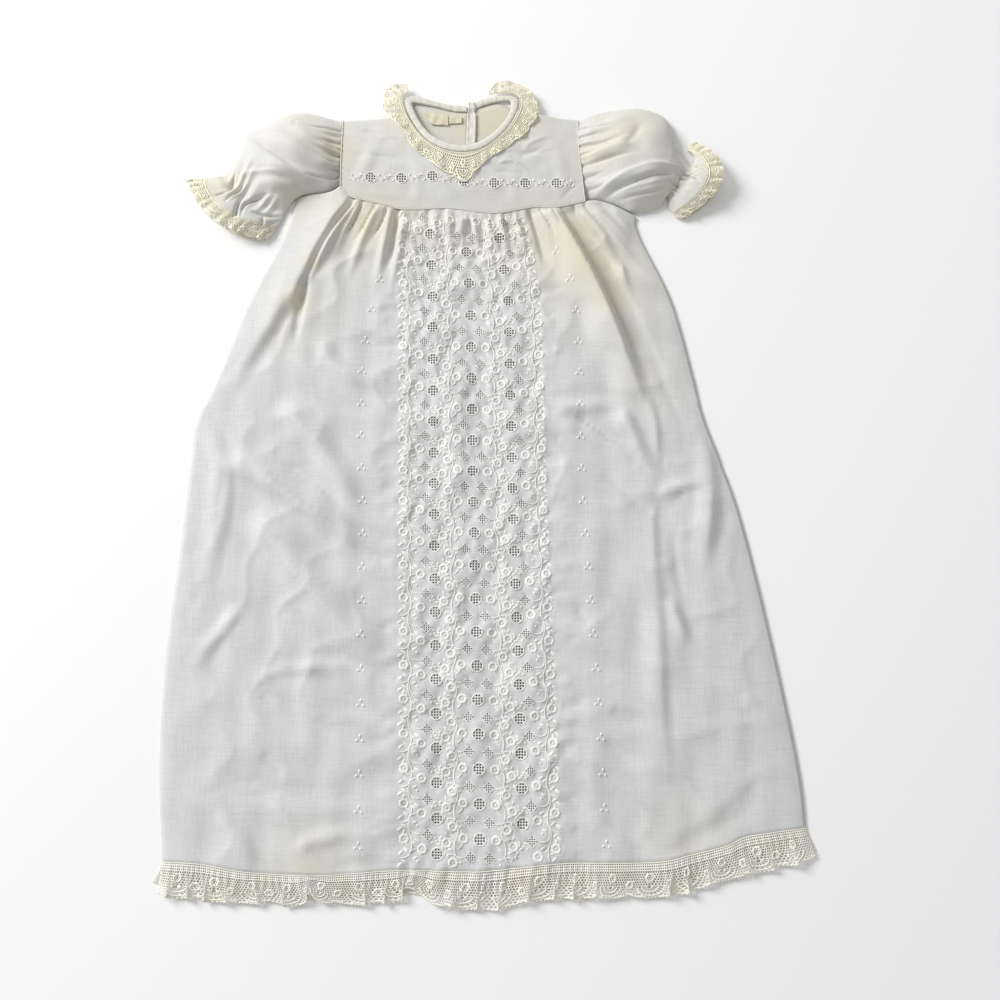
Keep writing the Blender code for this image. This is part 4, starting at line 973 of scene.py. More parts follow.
def panel_edges(y):
    """The left and the right edge of the embroidered panel at a height of the plan."""
    down = -np.array(PANEL_LINES_Y)
    return np.interp(-y, down, PANEL_LEFT), np.interp(-y, down, PANEL_RIGHT)


def panel_place(across, down):
    """The plan point of a place on the embroidered panel."""
    y = FIRST_EYELET_Y - REPEAT * down - ROW_SAG * math.sin(math.pi * min(max(down / SAG_ROWS, 0), 1))
    left, right = panel_edges(y)
    return (left + right) / 2 + across * (right - left) / 2, y - ROW_SKEW * REPEAT * across


def on_panel(x, y, margin):
    """Whether a place lies between the yoke seam and the hem."""
    top = np.interp(x, *np.array(YOKE_SEAM).T)
    bottom = np.interp(x, *np.array(HEM).T)
    return bottom + margin < y < top - margin


def panel_places(motifs, margin):
    """Every place of these motifs on the panel, both sides of the middle."""
    found = []
    for repeat in REPEATS:
        for motif in motifs:
            for side in (-1, 1) if motif.across else (1,):
                place = panel_place(side * motif.across, motif.down + repeat)
                if on_panel(*place, margin):
                    found.append(place)
    return found


def eyelet_holes(x, y, small):
    """The holes of one eyelet: a round grid of twelve, or a small diamond of thirteen."""
    if small:
        steps = range(-2, 3)
        places = [(i, j) for i in steps for j in steps if abs(i) + abs(j) <= 2]
        return [round_hole(x + i * SMALL_PITCH, y + j * SMALL_PITCH, SMALL_HOLE, 5, i + j) for i, j in places]
    steps = (-1.5, -0.5, 0.5, 1.5)
    places = [(i, j) for i in steps for j in steps if abs(i) + abs(j) < 3]
    return [round_hole(x + i * LARGE_PITCH, y + j * LARGE_PITCH, LARGE_HOLE, 7, i - j) for i, j in places]


def eyelet_stitches(work, x, y, small):
    """The ring round an eyelet and the whipped bars between its holes."""
    centre = np.array([x, y])
    if small:
        reach = SMALL_REACH
        corners = centre + reach * np.array([(0, 1), (1, 0), (0, -1), (-1, 0), (0, 1)])
        for start, end in zip(corners, corners[1:]):
            work.line(np.linspace(start, end, 4), 0.75, 0.35)
        pitch, lines, width, rise = SMALL_PITCH, (-1.5, -0.5, 0.5, 1.5), 0.5, 0.16
    else:
        reach = LARGE_RING - 0.4
        work.ring(centre, LARGE_RING, 1.2, 0.45, sides=18)
        pitch, lines, width, rise = LARGE_PITCH, (-1, 0, 1), 0.65, 0.25
    for line in lines:
        off = line * pitch
        half = reach - abs(off) if small else math.sqrt(reach**2 - off**2)
        for along in ((1, 0), (0, 1)):
            along = np.array(along)
            middle = centre + off * along[::-1]
            work.line(np.array([middle - half * along, middle, middle + half * along]), width, rise)


def skirt_grid():
    """The upper side of the front skirt with every fold, gather, crease and pucker."""
    pleated = np.linspace(0, PLEATED_SHARE, SKIRT_PLEATED_ROWS + 1)
    plain = np.linspace(PLEATED_SHARE, 1, SKIRT_PLAIN_ROWS + 1)
    plan = skirt_plan(SKIRT_COLUMNS, np.concatenate([pleated, plain[1:]]))
    x, y = plan[:, :, 0], plan[:, :, 1]
    hug = 1 - np.linspace(-1, 1, plan.shape[1])[None, :] ** SIDE_HUG_POWER
    folds = 0.85 * fold_lift(x, y, SKIRT_FOLDS) + 0.4 * fold_lift(x, y, SKIRT_FOLDS, sharp=True)
    folds = folds * (1.05 - 0.05 * smooth_step((y - 90) / 80)) + fold_lift(x, y, SKIRT_VALLEYS)
    rise = above_zero(SKIRT_LOFT + GATHER_LOFT * smooth_step((y - 150) / 70) + folds)
    rise += fold_lift(x, y, SKIRT_CREASES + edge_puckers(), sharp=True) * smooth_step(rise / 2)
    wrinkle = rumple(x, y, 3, 110, 0.5)
    rise += 0.6 * rumple(x, y, 7, 60, 1) + 1.3 * (1 - np.minimum(abs(wrinkle), 1)) ** 3
    left, right = panel_edges(y)
    across = (2 * x - left - right) / (right - left)
    on_work = smooth_step((1.04 - abs(across)) / 0.08)
    down = (FIRST_EYELET_Y - y) / REPEAT - ROW_SKEW * across
    pucker = 0.4 * np.cos(2 * math.pi * down) * np.cos(3.4 * math.pi * across)
    rise += on_work * (pucker + 0.42 * rumple(x, y, 19, 16, 1))
    rise = np.maximum(rise, 0.1) * hug
    rise -= EDGE_DIP * abs(np.linspace(-1, 1, plan.shape[1])[None, :]) ** EDGE_DIP_POWER
    # the gathers are sewn level along the yoke
    yoke = yoke_columns(SKIRT_COLUMNS)
    level = rise[0, yoke].copy()
    for _ in range(SEAM_SMOOTHING):
        level[1:-1] = (level[:-2] + level[2:]) / 2
    below = smooth_step(1 - np.arange(len(rise)) / GATHERED_ROWS)[:, None]
    rise[:, yoke] += (level - rise[0, yoke])[None, :] * below
    return np.dstack([x, y, PANEL_TOP + rise])


def edge_puckers():
    """Small puckers where the stiff embroidery draws in the plain cloth beside it."""
    random = np.random.default_rng(11)
    found = []
    for repeat in range(1, 19):
        for side in (-1, 1):
            for _ in range(2):
                x, y = panel_place(side * random.uniform(0.96, 1.02), repeat + random.uniform(0, 1))
                reach = side * random.uniform(9, 24)
                tilt = random.uniform(-5, 5)
                rise = random.choice((-1, 1)) * random.uniform(0.8, 1.8)
                bend = y + tilt / 2 + random.uniform(-1, 1)
                found.append(Fold(x, y, x + reach / 2, bend, x + reach, y + tilt, rise, 5, 5, 0.6))
    return found


def make_cutwork(name, node, grid, holes, cloth):
    """A panel of lawn with its eyelets cut through. It gives the cloth and the ground for its stitches."""
    outline = np.vstack([grid[0], grid[1:, -1], grid[-1, -2::-1], grid[-2:0:-1, 0]])[:, :2]
    inner = grid[1:-1, 1:-1, :2].reshape(-1, 2)
    ground = Plan(grid)
    plan, faces = pierced(outline, holes, inner)
    points = ground.place(plan[:, 0], plan[:, 1], np.zeros(len(plan)))
    return make_cloth(name, node, points, faces, cloth), ground


def make_skirt_front(cloth, thread):
    """The embroidered front skirt: its cloth with the eyelets cut, and the raised work."""
    grid = skirt_grid()
    large = panel_places(LARGE_EYELETS, 2.4 * LARGE_RING)
    small = panel_places(SMALL_EYELETS, 3 * SMALL_PITCH + 1)
    eyelets = [(*place, False) for place in large] + [(*place, True) for place in small]
    holes = [hole for eyelet in eyelets for hole in eyelet_holes(*eyelet)]
    skirt, ground = make_cutwork("front_skirt_cloth", "skirt_front", grid, holes, cloth)

    work = Stitches(ground)
    for eyelet in eyelets:
        eyelet_stitches(work, *eyelet)
    for place in panel_places(FLOWERS, 4.5):
        work.ring(np.array(place), 3.1, 2.6, 0.6, sides=21, lobes=7)
        work.knot(np.array(place), 0.75, 0.5)
    for place in panel_places(KNOTS, 2):
        work.knot(np.array(place), 1.15, 0.6)
    for repeat in REPEATS:
        for side in (-1, 1):
            make_foliage(work, repeat, side)
    for column in (SPRIGS_LEFT, SPRIGS_RIGHT):
        for place in smooth_line(column, round((column[0].y - column[-1].y) / REPEAT)):
            make_sprig(work, *place)
    stitches = work.make("skirt_embroidery", thread)
    return grid


def make_foliage(work, repeat, side):
    """The stems and leaves of one repeat on one side of the panel."""
    t = np.linspace(0, 1, 7)[:, None]
    for stem in STEMS:
        places = [(stem.across0, stem.down0), (stem.across1, stem.down1), (stem.across2, stem.down2)]
        ends = [panel_place(side * across, down + repeat) for across, down in places]
        if all(on_panel(*end, 1.5) for end in ends):
            work.line(curve_through(*np.array(ends), t), 1.25, 0.5)
    for leaf in LEAVES:
        place = panel_place(side * leaf.across, leaf.down + repeat)
        if on_panel(*place, 3):
            turn = math.radians(leaf.turn if side > 0 else 180 - leaf.turn)
            work.leaf(np.array(place), turn, LEAF_SCALE * leaf.length, LEAF_SCALE * leaf.width, 0.55)


def make_sprig(work, x, y):
    """Three knots round a short stem."""
    for dx, dy, turn in ((-2.2, -1.4, 0.6), (2.1, -1.8, 2.4), (0.3, 2.2, 1.2)):
        work.leaf(np.array([x + dx, y + dy]), turn, 3.1, 2.2, 0.7)
    work.line(np.array([(x - 1.4, y - 0.8), (x, y - 0.4), (x + 0.4, y + 1.0)]), 0.6, 0.35)
    work.line(np.array([(x - 0.6, y - 2.4), (x + 0.2, y - 1.4), (x + 1.2, y - 1.0)]), 0.5, 0.3)


def flat_grid(plan, height, seed):
    """A level cloth with a little unevenness."""
    x, y = plan[:, :, 0], plan[:, :, 1]
    return np.dstack([x, y, height + rumple(x, y, seed, 90, 0.06)])


def make_back_panel(name, node, plan, seed, cloth):
    """A plain panel of the back, flat on the surface."""
    grid = flat_grid(plan, BACK_TOP, seed)
    faces = grid_faces(*grid.shape[:2])
    piece = make_cloth(name, node, grid.reshape(-1, 3), faces, cloth)
    return grid


def make_skirt_back(cloth):
    """The plain back skirt."""
    plan = skirt_plan(SKIRT_BACK_COLUMNS, np.linspace(0, 1, SKIRT_BACK_ROWS + 1))
    return make_back_panel("back_skirt_cloth", "skirt_back", plan, 5, cloth)


def yoke_grid(skirt, neck):
    """The upper side of the front yoke, between the gathered skirt and the binding's rows at the neck."""
    seam = skirt[0, yoke_columns(SKIRT_COLUMNS)] + (0, 0.1, 0)
    neck_edge = with_height(moved_out(neck[:, 2:4], 0.1), neck[:, 4] + NECK_EDGE_UP + CLOTH)
    count = len(seam) - 1
    left_sides = (count - len(neck) + 1) // 2
    right_sides = count - left_sides - len(neck) + 1
    left_rise = np.linspace(PANEL_TOP, neck_edge[0, 2], left_sides + 1)
    right_rise = np.linspace(neck_edge[-1, 2], PANEL_TOP, right_sides + 1)
    left = with_height(smooth_line(SHOULDER_LEFT, left_sides), left_rise)
    right = with_height(smooth_line(SHOULDER_RIGHT, right_sides), right_rise)
    top = np.vstack([left[:-1], neck_edge, right[1:]])
    up = np.linspace(0, 1, YOKE_ROWS + 1)
    edges = []
    for points, corner in ((ARMHOLE_LEFT, seam[0]), (ARMHOLE_RIGHT, seam[-1])):
        rise = corner[2] + (PANEL_TOP - corner[2]) * up + ARMHOLE_BULGE * np.sin(np.pi * up)
        edges.append(with_height(smooth_line(points, YOKE_ROWS), rise))
    seam[0, :2] = edges[0][0, :2]
    seam[-1, :2] = edges[1][0, :2]
    grid = patch(seam, top, *edges)
    x, y = grid[:, :, 0], grid[:, :, 1]
    from_sides = np.sin(np.pi * np.linspace(0, 1, grid.shape[1]))[None, :] ** 0.3
    from_ends = np.sin(np.pi * up)[:, None] ** 0.5
    uneven = 0.22 * rumple(x, y, 9, 45, 1)
    folds = fold_lift(x, y, YOKE_FOLDS) + fold_lift(x, y, YOKE_CREASES, sharp=True)
    grid[:, :, 2] += (folds + uneven) * from_sides * from_ends
    return grid


def make_yoke_front(skirt, binding, cloth, thread):
    """The front yoke with its row of eyelets and the sprays between them."""
    neck = binding[FRONT_NECK_START * BINDING_STEPS : FRONT_NECK_END * BINDING_STEPS + 1]
    grid = yoke_grid(skirt, neck)
    holes = [hole for x, y in YOKE_EYELETS for hole in eyelet_holes(x, y, False)]
    yoke, ground = make_cutwork("front_yoke_cloth", "yoke_front", grid, holes, cloth)
    work = Stitches(ground)
    for x, y in YOKE_EYELETS:
        eyelet_stitches(work, x, y, False)
    ends = [Point(-116.5, 244), *YOKE_EYELETS, Point(77, 239)]
    for start, end in zip(ends, ends[1:]):
        make_spray(work, np.array(start, float), np.array(end, float))
    stitches = work.make("yoke_embroidery", thread)
    return grid


def make_spray(work, start, end):
    """A winding stem between two eyelets, with leaves, knots and a small bloom."""
    middle = (start + end) / 2
    half = (np.hypot(*(end - start)) - 2 * LARGE_RING) / 2
    along = np.linspace(-half, half, 9)
    work.line(middle + np.column_stack([along, 1.6 * np.sin(math.pi * along / half)]), 0.8, 0.55)
    work.ring(middle + (0.3, 0.2), 1.5, 1.5, 0.6, sides=15, lobes=5)
    for share, side, turn in ((-0.75, 1, 50), (-0.45, -1, -35), (0.45, 1, -35), (0.75, -1, 50)):
        work.leaf(middle + (share * half, 2.2 * side), math.radians(turn), 3.6, 1.9, 0.6)
    for share, side in ((-0.9, -1), (-0.2, 1.5), (0.15, -1.6), (0.9, 1)):
        work.knot(middle + (share * half, 1.9 * side), 0.8, 0.5)


def make_yoke_backs(skirt_back, binding, cloth):
    """The two back yokes with the slot between them: the inside of them shows through the neck."""
    seam = skirt_back[0, yoke_columns(SKIRT_BACK_COLUMNS), :2] + (0, 0.1)
    steps = BACK_YOKE_STEPS

    rows = binding[: LEFT_BACK_NECK_END * BINDING_STEPS + 1]
    neck = moved_out(rows[:, :2], -0.1)[::-1]
    slot_x = OPENING_X - OPENING_WIDTH / 2
    corner = np.array([slot_x, np.interp(slot_x, *seam.T)])
    edge = np.vstack([ARMHOLE_LEFT[0], seam[seam[:, 0] < slot_x][1:], corner])
    neck[-1, 0] = slot_x
    shoulder = [*SHOULDER_LEFT[:3], Point(-73, 303.5), Point(*neck[0])]
    top = np.vstack([smooth_line(shoulder, steps)[:-1], neck])
    sides = smooth_line(ARMHOLE_LEFT, steps), np.linspace(corner, neck[-1], steps + 1)
    make_yoke_back("left", edge, top, sides, cloth)

    rows = binding[RIGHT_BACK_NECK_START * BINDING_STEPS :]
    neck = moved_out(rows[:, :2], -0.1)[::-1]
    slot_x = OPENING_X + OPENING_WIDTH / 2
    corner = np.array([slot_x, np.interp(slot_x, *seam.T)])
    edge = np.vstack([corner, seam[seam[:, 0] > slot_x][:-1], ARMHOLE_RIGHT[0]])
    neck[0, 0] = slot_x
    shoulder = [Point(*neck[-1]), Point(30, 304.5), *SHOULDER_RIGHT[2:]]
    top = np.vstack([neck, smooth_line(shoulder, steps)[1:]])
    sides = np.linspace(corner, neck[0], steps + 1), smooth_line(ARMHOLE_RIGHT, steps)
    make_yoke_back("right", edge, top, sides, cloth)


def make_yoke_back(side, edge, top, sides, cloth):
    """One back yoke from its four edges."""
    plan = patch(read_at(edge, np.linspace(0, 1, len(top))), top, *sides)
    make_back_panel(f"back_yoke_{side}_cloth", f"yoke_back_{side}", plan, 6, cloth)


def make_binding(cloth, thread):
    """The bias binding of the neck, rounded over its cord, with a stitched line along its lower edge."""
    rows = spline(NECK_BINDING, BINDING_STEPS)
    rows[:, 4] = np.maximum(rows[:, 4], 0)
    sides = BINDING_SIDES
    angle = np.arange(sides) * 2 * math.pi / sides
    across = 0.5 - 0.45 * np.sign(np.cos(angle)) * abs(np.cos(angle)) ** 0.8
    up = 0.5 + 0.5 * np.sign(np.sin(angle)) * abs(np.sin(angle)) ** 0.8
    along = np.arange(len(rows))[:, None]
    pucker = 0.28 * np.sin(along * 1.7) * np.sin(along * 0.43 + 1) * (up[None, :] > 0.5)
    plan = rows[:, None, :2] + (rows[:, None, 2:4] - rows[:, None, :2]) * across[None, :, None]
    height = rows[:, 4:5] + up[None, :] * BINDING_THICKNESS + pucker
    points = np.dstack([plan, height]).reshape(-1, 3)
    faces = [tuple(face) for face in grid_faces(len(rows), sides, closed=True)]
    faces += [tuple(range(sides)), tuple(range(len(points) - sides, len(points)))[::-1]]
    binding = make_mesh("neck_binding_cloth", points, faces, cloth)
    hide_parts("neck_binding")
    edge = Ground(np.dstack([plan[:, 1:7], height[:, 1:7]]).transpose(1, 0, 2))
    make_seam_line("neck_binding_stitches", edge, 0.82, 70, thread)
    return rows


def make_seam_line(name, ground, down, count, thread, length=0.6, width=0.22):
    """A row of stitches along a ground: each is a small raised bar."""
    points, faces = [], []
    for index in range(count):
        start = (index + 0.2) / count
        across = start + np.array([0, length, length, 0, length / 2]) / count
        rise = np.array([0, 0, 0, 0, 0.2])
        aside = np.array([0, 0, 1, 1, 0.5]) * width
        grid = ground.place(across, np.full(5, down), rise)
        run = grid[1] - grid[0]
        away = np.cross(run, (0, 0, 1))
        grid = grid + aside[:, None] * away / (np.linalg.norm(away) + 1e-9)
        first = len(points)
        points += list(grid)
        faces += [(first + i, first + (i + 1) % 4, first + 4) for i in range(4)]
    make_mesh(name, points, faces, thread)


def lace_fan(lace):
    """The depth of a fan's centre and its reach."""
    reach = 0.44 * (lace.depth - lace.header)
    return lace.depth - reach, reach


def lace_roses(lace):
    """The small roses of the lace as rows of place across, place down and radius."""
    size = 0.085 * lace.width
    high = lace.header + 0.26 * (lace.depth - lace.header)
    low = lace.header + 0.52 * (lace.depth - lace.header)
    over_fans = [((k + 0.5) * lace.width, high, size) for k in range(lace.repeats)]
    between = [(k * lace.width, low, 0.9 * size) for k in range(1, lace.repeats)]
    return np.array(over_fans + between)


def lace_holes(lace):
    """The cut-outs of a strip of lace: a ladder heading, a net, and in each repeat a rose over a fan."""
    holes = []
    length = lace.width * lace.repeats
    fan_y, reach = lace_fan(lace)
    roses = lace_roses(lace)
    for x, y, radius in roses:
        holes.append(round_hole(x, y, 0.3 * radius))
        for turn in np.arange(6) * math.pi / 3:
            petal_x = x + 0.66 * radius * math.cos(turn)
            petal_y = y + 0.66 * radius * math.sin(turn)
            holes.append(round_hole(petal_x, petal_y, 0.2 * radius, 5))
    for k in range(lace.repeats):
        middle = (k + 0.5) * lace.width
        holes.append(round_hole(middle, fan_y + 0.1 * reach, 0.13 * reach))
        for angle in math.pi * (np.arange(10) + 0.5) / 10:
            for inner, outer, wide in ((0.32, 0.58, 0.1), (0.66, 0.93, 0.115)):
                radii = np.array([inner, outer, outer, inner]) * reach
                turns = angle + np.array([-0.75, -1, 1, 0.75]) * wide
                holes.append(fan_arc(middle, fan_y, radii, turns))
    rows = 3 if lace.header > 3 else 1
    side = 0.52 * lace.header / rows
    for row in range(rows):
        y = lace.header * (row + 0.5) / rows
        for x in np.arange(1.1, length - 1, side + 0.75):
            holes.append(round_hole(x, y, side / math.sqrt(2), 4, math.pi / 4))
    for row, y in enumerate(np.arange(lace.header + 0.95, lace.depth - 1, NET_PITCH * 0.87)):
        for x in np.arange(1 + (row % 2) * NET_PITCH / 2, length - 0.9, NET_PITCH):
            from_fan = np.hypot(x % lace.width - lace.width / 2, (y - fan_y) / FAN_FLATNESS)
            in_fan = y > fan_y - 0.5 and from_fan < reach + 0.45
            in_rose = (np.hypot(roses[:, 0] - x, roses[:, 1] - y) < roses[:, 2] + 0.62).any()
            if not in_fan and not in_rose and y < scallop(x, lace) - 1.1:
                holes.append(round_hole(x, y, NET_HOLE, 6, math.pi / 6))
    return holes


def fan_arc(middle, fan_y, radius, turns):
    """Places round the centre of a fan."""
    return np.column_stack([middle + radius * np.cos(turns), fan_y + FAN_FLATNESS * radius * np.sin(turns)])


def scallop(x, lace):
    """The free edge of the lace: a scallop a repeat, with picots."""
    swell = abs(np.sin(np.pi * x / lace.width)) ** 0.7
    return lace.depth - SCALLOP_DEPTH + SCALLOP_DEPTH * swell + 0.3 * np.sin(2 * np.pi * x / PICOT_PITCH)


def make_lace(name, node, lace, grid, material):
    """Gathered lace: the flat strip with its cut-outs, laid on the gathered form, with its cordonnet."""
    length = lace.width * lace.repeats
    header = np.linspace(0, length, round(length / 1.2))
    bottom = np.arange(length, 0, -0.5)
    edge_down = np.arange(0.8, lace.depth - 2.4, 0.8)
    edge_up = np.append(edge_down, lace.depth - SCALLOP_DEPTH)[::-1]
    outline = np.vstack([
        np.column_stack([header, np.zeros(len(header))]),
        np.column_stack([np.full(len(edge_down), length), edge_down]),
        np.column_stack([bottom, scallop(bottom, lace)]),
        np.column_stack([np.zeros(len(edge_up)), edge_up]),
    ])
    strip, faces = pierced(outline, lace_holes(lace), np.zeros((0, 2)))
    ground = Ground(grid)
    points = ground.place(strip[:, 0] / length, strip[:, 1] / lace.depth, np.zeros(len(strip)))
    piece = make_cloth(name, node, points, faces, material, LACE_SHELL)

    work = Stitches(ground, (1 / length, 1 / lace.depth))
    fan_y, reach = lace_fan(lace)
    turns = np.linspace(0, math.pi, 13)
    for k in range(lace.repeats):
        for share in (0.62, 0.98):
            work.line(fan_arc((k + 0.5) * lace.width, fan_y, share * reach, turns), 0.85, 0.45)
    for x, y, radius in lace_roses(lace):
        work.ring(np.array([x, y]), 1.05 * radius, 1.1, 0.5, sides=18, lobes=6)
    steps = np.linspace(0.5, length - 0.5, round(length / 2.4))
    for y in (0.35, lace.header):
        work.line(np.column_stack([steps, np.full(len(steps), y)]), 0.55, 0.4)
    for x in np.arange(1, length, PICOT_PITCH):
        work.knot(np.array([x + 0.37, scallop(x + 0.37, lace) - 0.2]), 0.5, 0.4)
    threads = work.make(f"{name}_threads", material)
    corners = strip[np.array(faces)]
    first, second = corners[:, 1] - corners[:, 0], corners[:, 2] - corners[:, 0]
    share = 0.5 * abs(first[:, 0] * second[:, 1] - first[:, 1] * second[:, 0]).sum() / (length * lace.depth)
    cut = np.linalg.norm(np.diff(grid[len(grid) // 2], axis=0), axis=1).sum()
    lace.depth * MM
    share * cut * lace.depth * MM**2


def leaning(shares, waves, seed, unevenness=0.3):
    """The phase of uneven waves along an edge."""
    random = np.random.default_rng(seed)
    phase = waves * shares
    for turns in (2.3, 4.1, 6.7):
        phase = phase + unevenness * np.sin(2 * np.pi * (turns * shares + random.uniform(0, 1)))
    return 2 * np.pi * phase


def hem_lace_grid(skirt):
    """The front hem lace from its heading on the hem to its free edge on the surface."""
    shares = np.linspace(0, 1, HEM_LACE_COLUMNS + 1)
    sewn = read_at(skirt[-1], shares) + (0, 0.8, 0.25)
    free = read_at(spline(FRONT_LACE_EDGE, CURVE_STEPS), shares)
    phase = leaning(shares, HEM_LACE_WAVES, 21)
    swell = 1.2 + 0.3 * np.sin(2 * np.pi * 5.3 * shares) + 0.25 * np.sin(2 * np.pi * 9.1 * shares + 1)
    wave = swell * (0.5 - 0.5 * np.cos(phase)) ** 0.8
    header = HEM_LACE.header / HEM_LACE.depth
    at_start = np.sin(np.pi * np.clip(20 * shares, 0, 0.5))
    at_end = np.sin(np.pi * np.clip(20 * (1 - shares), 0, 0.5))
    found = []
    for down in np.linspace(0, 1, HEM_LACE_ROWS + 1):
        plan = sewn[:, :2] + (free - sewn[:, :2]) * down
        gathered = smooth_step((down - header) / (1 - header))
        fall = PANEL_TOP - sewn[:, 2] + HEM_LACE_WAVE_HEIGHT * wave
        lean = HEM_LACE_LEAN * np.sin(phase) * gathered * at_start * at_end
        crimp = 0.5 * np.sin(3.3 * phase) * np.sin(np.pi * np.clip(down * 1.4, 0, 1))
        height = sewn[:, 2] + fall * gathered + crimp
        found.append(np.column_stack([plan[:, 0] + lean, plan[:, 1], height]))
    return np.array(found)


def back_hem_lace_grid(skirt_back):
    """The back hem lace, flat on the surface under the front one."""
    shares = np.linspace(0, 1, BACK_LACE_COLUMNS + 1)
    sewn = read_at(skirt_back[-1], shares) - (0, 0.1, 0)
    sewn[:, 2] = BACK_LACE_HEIGHT
    free = with_height(read_at(spline(BACK_LACE_EDGE, CURVE_STEPS), shares), BACK_LACE_HEIGHT)
    free[:, 2] += 0.2 * np.sin(leaning(shares, 26, 5))
    down = np.linspace(0, 1, BACK_LACE_ROWS + 1)[:, None, None]
    return sewn[None] * (1 - down) + free[None] * down


def neck_lace_grid(yoke, binding):
    """The neck lace on the yoke, and standing free past the shoulders."""
    rows = spline(NECK_LACE, NECK_LACE_STEPS)
    ground = Plan(yoke)
    nearest = [np.argmin(np.hypot(*(binding[:, 2:4] - row[:2]).T)) for row in rows]
    sewn_height = binding[nearest, 4] + BINDING_THICKNESS + 0.2 + CLOTH
    phase = leaning(np.linspace(0, 1, len(rows)), NECK_LACE_WAVES, 31, 0.2)
    wave = NECK_LACE_WAVE_HEIGHT * (0.5 - 0.5 * np.cos(phase)) + 0.5 * np.sin(2.6 * phase)
    found = []
    for share in np.linspace(0, 1, NECK_LACE_ROWS + 1):
        plan = rows[:, :2] + (rows[:, 2:4] - rows[:, :2]) * share
        height = sewn_height + (rows[:, 4] + CLOTH - sewn_height) * share
        under = np.array([ground.covered_height(x, y) for x, y in plan], float)
        clear = under + LACE_CLEARANCE
        over = np.isfinite(under)
        height = np.where(over, clear if share >= 0.3 else np.fmax(height, clear), height)
        found.append(np.column_stack([plan, height + wave * share]))
    grid = np.array(found)
    grid[:, :, 2] = smoothed(grid[:, :, 2])
    return grid


def smoothed(heights, times=3):
    """Heights along the columns of a grid with their steps softened."""
    for _ in range(times):
        middle = (heights[:, :-2] + 2 * heights[:, 1:-1] + heights[:, 2:]) / 4
        heights = np.hstack([heights[:, :1], middle, heights[:, -1:]])
    return heights


def section_ring(row):
    """One cross-section of a sleeve: a flat underside with a rounded puff over it."""
    top = np.linspace(0, 1, SLEEVE_TOP_SIDES + 1)
    under = np.linspace(1, 0, SLEEVE_UNDER_SIDES + 1)[1:-1]
    shares = np.concatenate([top, under])
    on_top = np.arange(len(shares)) <= SLEEVE_TOP_SIDES
    s = (0.5 * shares + 0.5 * (0.5 - 0.5 * np.cos(np.pi * shares)))[:, None]
    plan = curve_through(row[0:2], row[2:4], row[4:6], s)
    roundness = np.sqrt(np.clip(1 - (2 * s[:, 0] - 1) ** 2, 0, 1))
    edge = 0.4 * SLEEVE_EDGE_SHARE * row[6]
    puff = edge + (row[6] - edge) * roundness**1.3
    height = np.where(on_top, puff, edge * (1 - smooth_step(UNDERSIDE_ROUNDING * roundness)))
    return np.column_stack([plan, height]), s[:, 0], on_top


def sleeve_grid(sections, folds, creases, elastic_row):
    """The outside of a sleeve with its cap gathers, its elastic shirring and its creases."""
    rings = []
    for index, row in enumerate(spline(sections, SLEEVE_STEPS)):
        ring, s, on_top = section_ring(row)
        place = index / SLEEVE_STEPS
        at_cap = smooth_step(1 - place / CAP_REACH) * smooth_step(2 * place + 0.3)
        at_elastic = smooth_step(1 - abs(place - elastic_row) / ELASTIC_REACH)
        near_elastic = smooth_step(1 - abs(place - elastic_row) / 1.1)
        uneven = s + 0.03 * np.sin(2 * np.pi * 2.3 * s + 1)
        gathers = 0.6 * at_cap * np.cos(2 * np.pi * CAP_GATHERS * uneven)
        gathers += 0.35 * smooth_step(1 - place / 1.2) * np.cos(2 * np.pi * 2.5 * CAP_GATHERS * uneven)
        gathers += at_elastic * np.cos(2 * np.pi * ELASTIC_GATHERS * uneven)
        gathers += 0.25 * near_elastic * (abs(np.cos(2 * np.pi * 1.5 * ELASTIC_GATHERS * uneven)) - 0.6)
        fading = np.sin(np.pi * s) ** 0.5
        lift = GATHER_HEIGHT * gathers - ELASTIC_PINCH * near_elastic
        x, y = ring[:, 0], ring[:, 1]
        lift += fold_lift(x, y, folds) + fold_lift(x, y, creases, sharp=True)
        lift += 0.4 * rumple(x, y, 17, 45, 1) * smooth_step(place)
        ring[:, 2] = np.where(on_top, above_zero(ring[:, 2] + lift * fading, 1.0), ring[:, 2])
        rings.append(ring)
    return np.array(rings)


def make_sleeve(side, sections, folds, creases, lace_sections, lawn, lace):
    """One puff sleeve with its frill, and the lace on the frill's edge."""
    grid = sleeve_grid(sections, folds, creases, ARMHOLE_TO_ELASTIC[side])
    name = f"{side}_sleeve_cloth"
    faces = grid_faces(*grid.shape[:2], closed=True)
    sleeve = make_cloth(name, f"sleeve_{side}", grid.reshape(-1, 3), faces, lawn, round_piece=True)

    edging = np.array([section_ring(row)[0] for row in spline(lace_sections, CUFF_LACE_STEPS)])
    offset = grid[-1] - edging[0]
    edging[0] = grid[-1]
    closed = np.concatenate([edging, edging[:, :1]], axis=1)
    offset = np.concatenate([offset, offset[:1]])
    down = np.linspace(0, 1, len(closed))[:, None]
    column = np.linspace(0, 1, closed.shape[1])[None, :]
    on_top = column < SLEEVE_TOP_SIDES / (SLEEVE_TOP_SIDES + SLEEVE_UNDER_SIDES)
    phase = leaning(column, CUFF_LACE_WAVES * 1.3, 41, 0.2)
    closed[:, :, 2] += np.where(on_top, CUFF_LACE_WAVE_HEIGHT * down * np.sin(phase), 0)
    blend = smooth_step(1 - 3 * down)
    closed[1:] += (offset[None] * blend[:, :, None])[1:]
    make_lace(f"{side}_cuff_lace_net", f"cuff_lace_{side}", CUFF_LACE_TRIM, closed, lace)


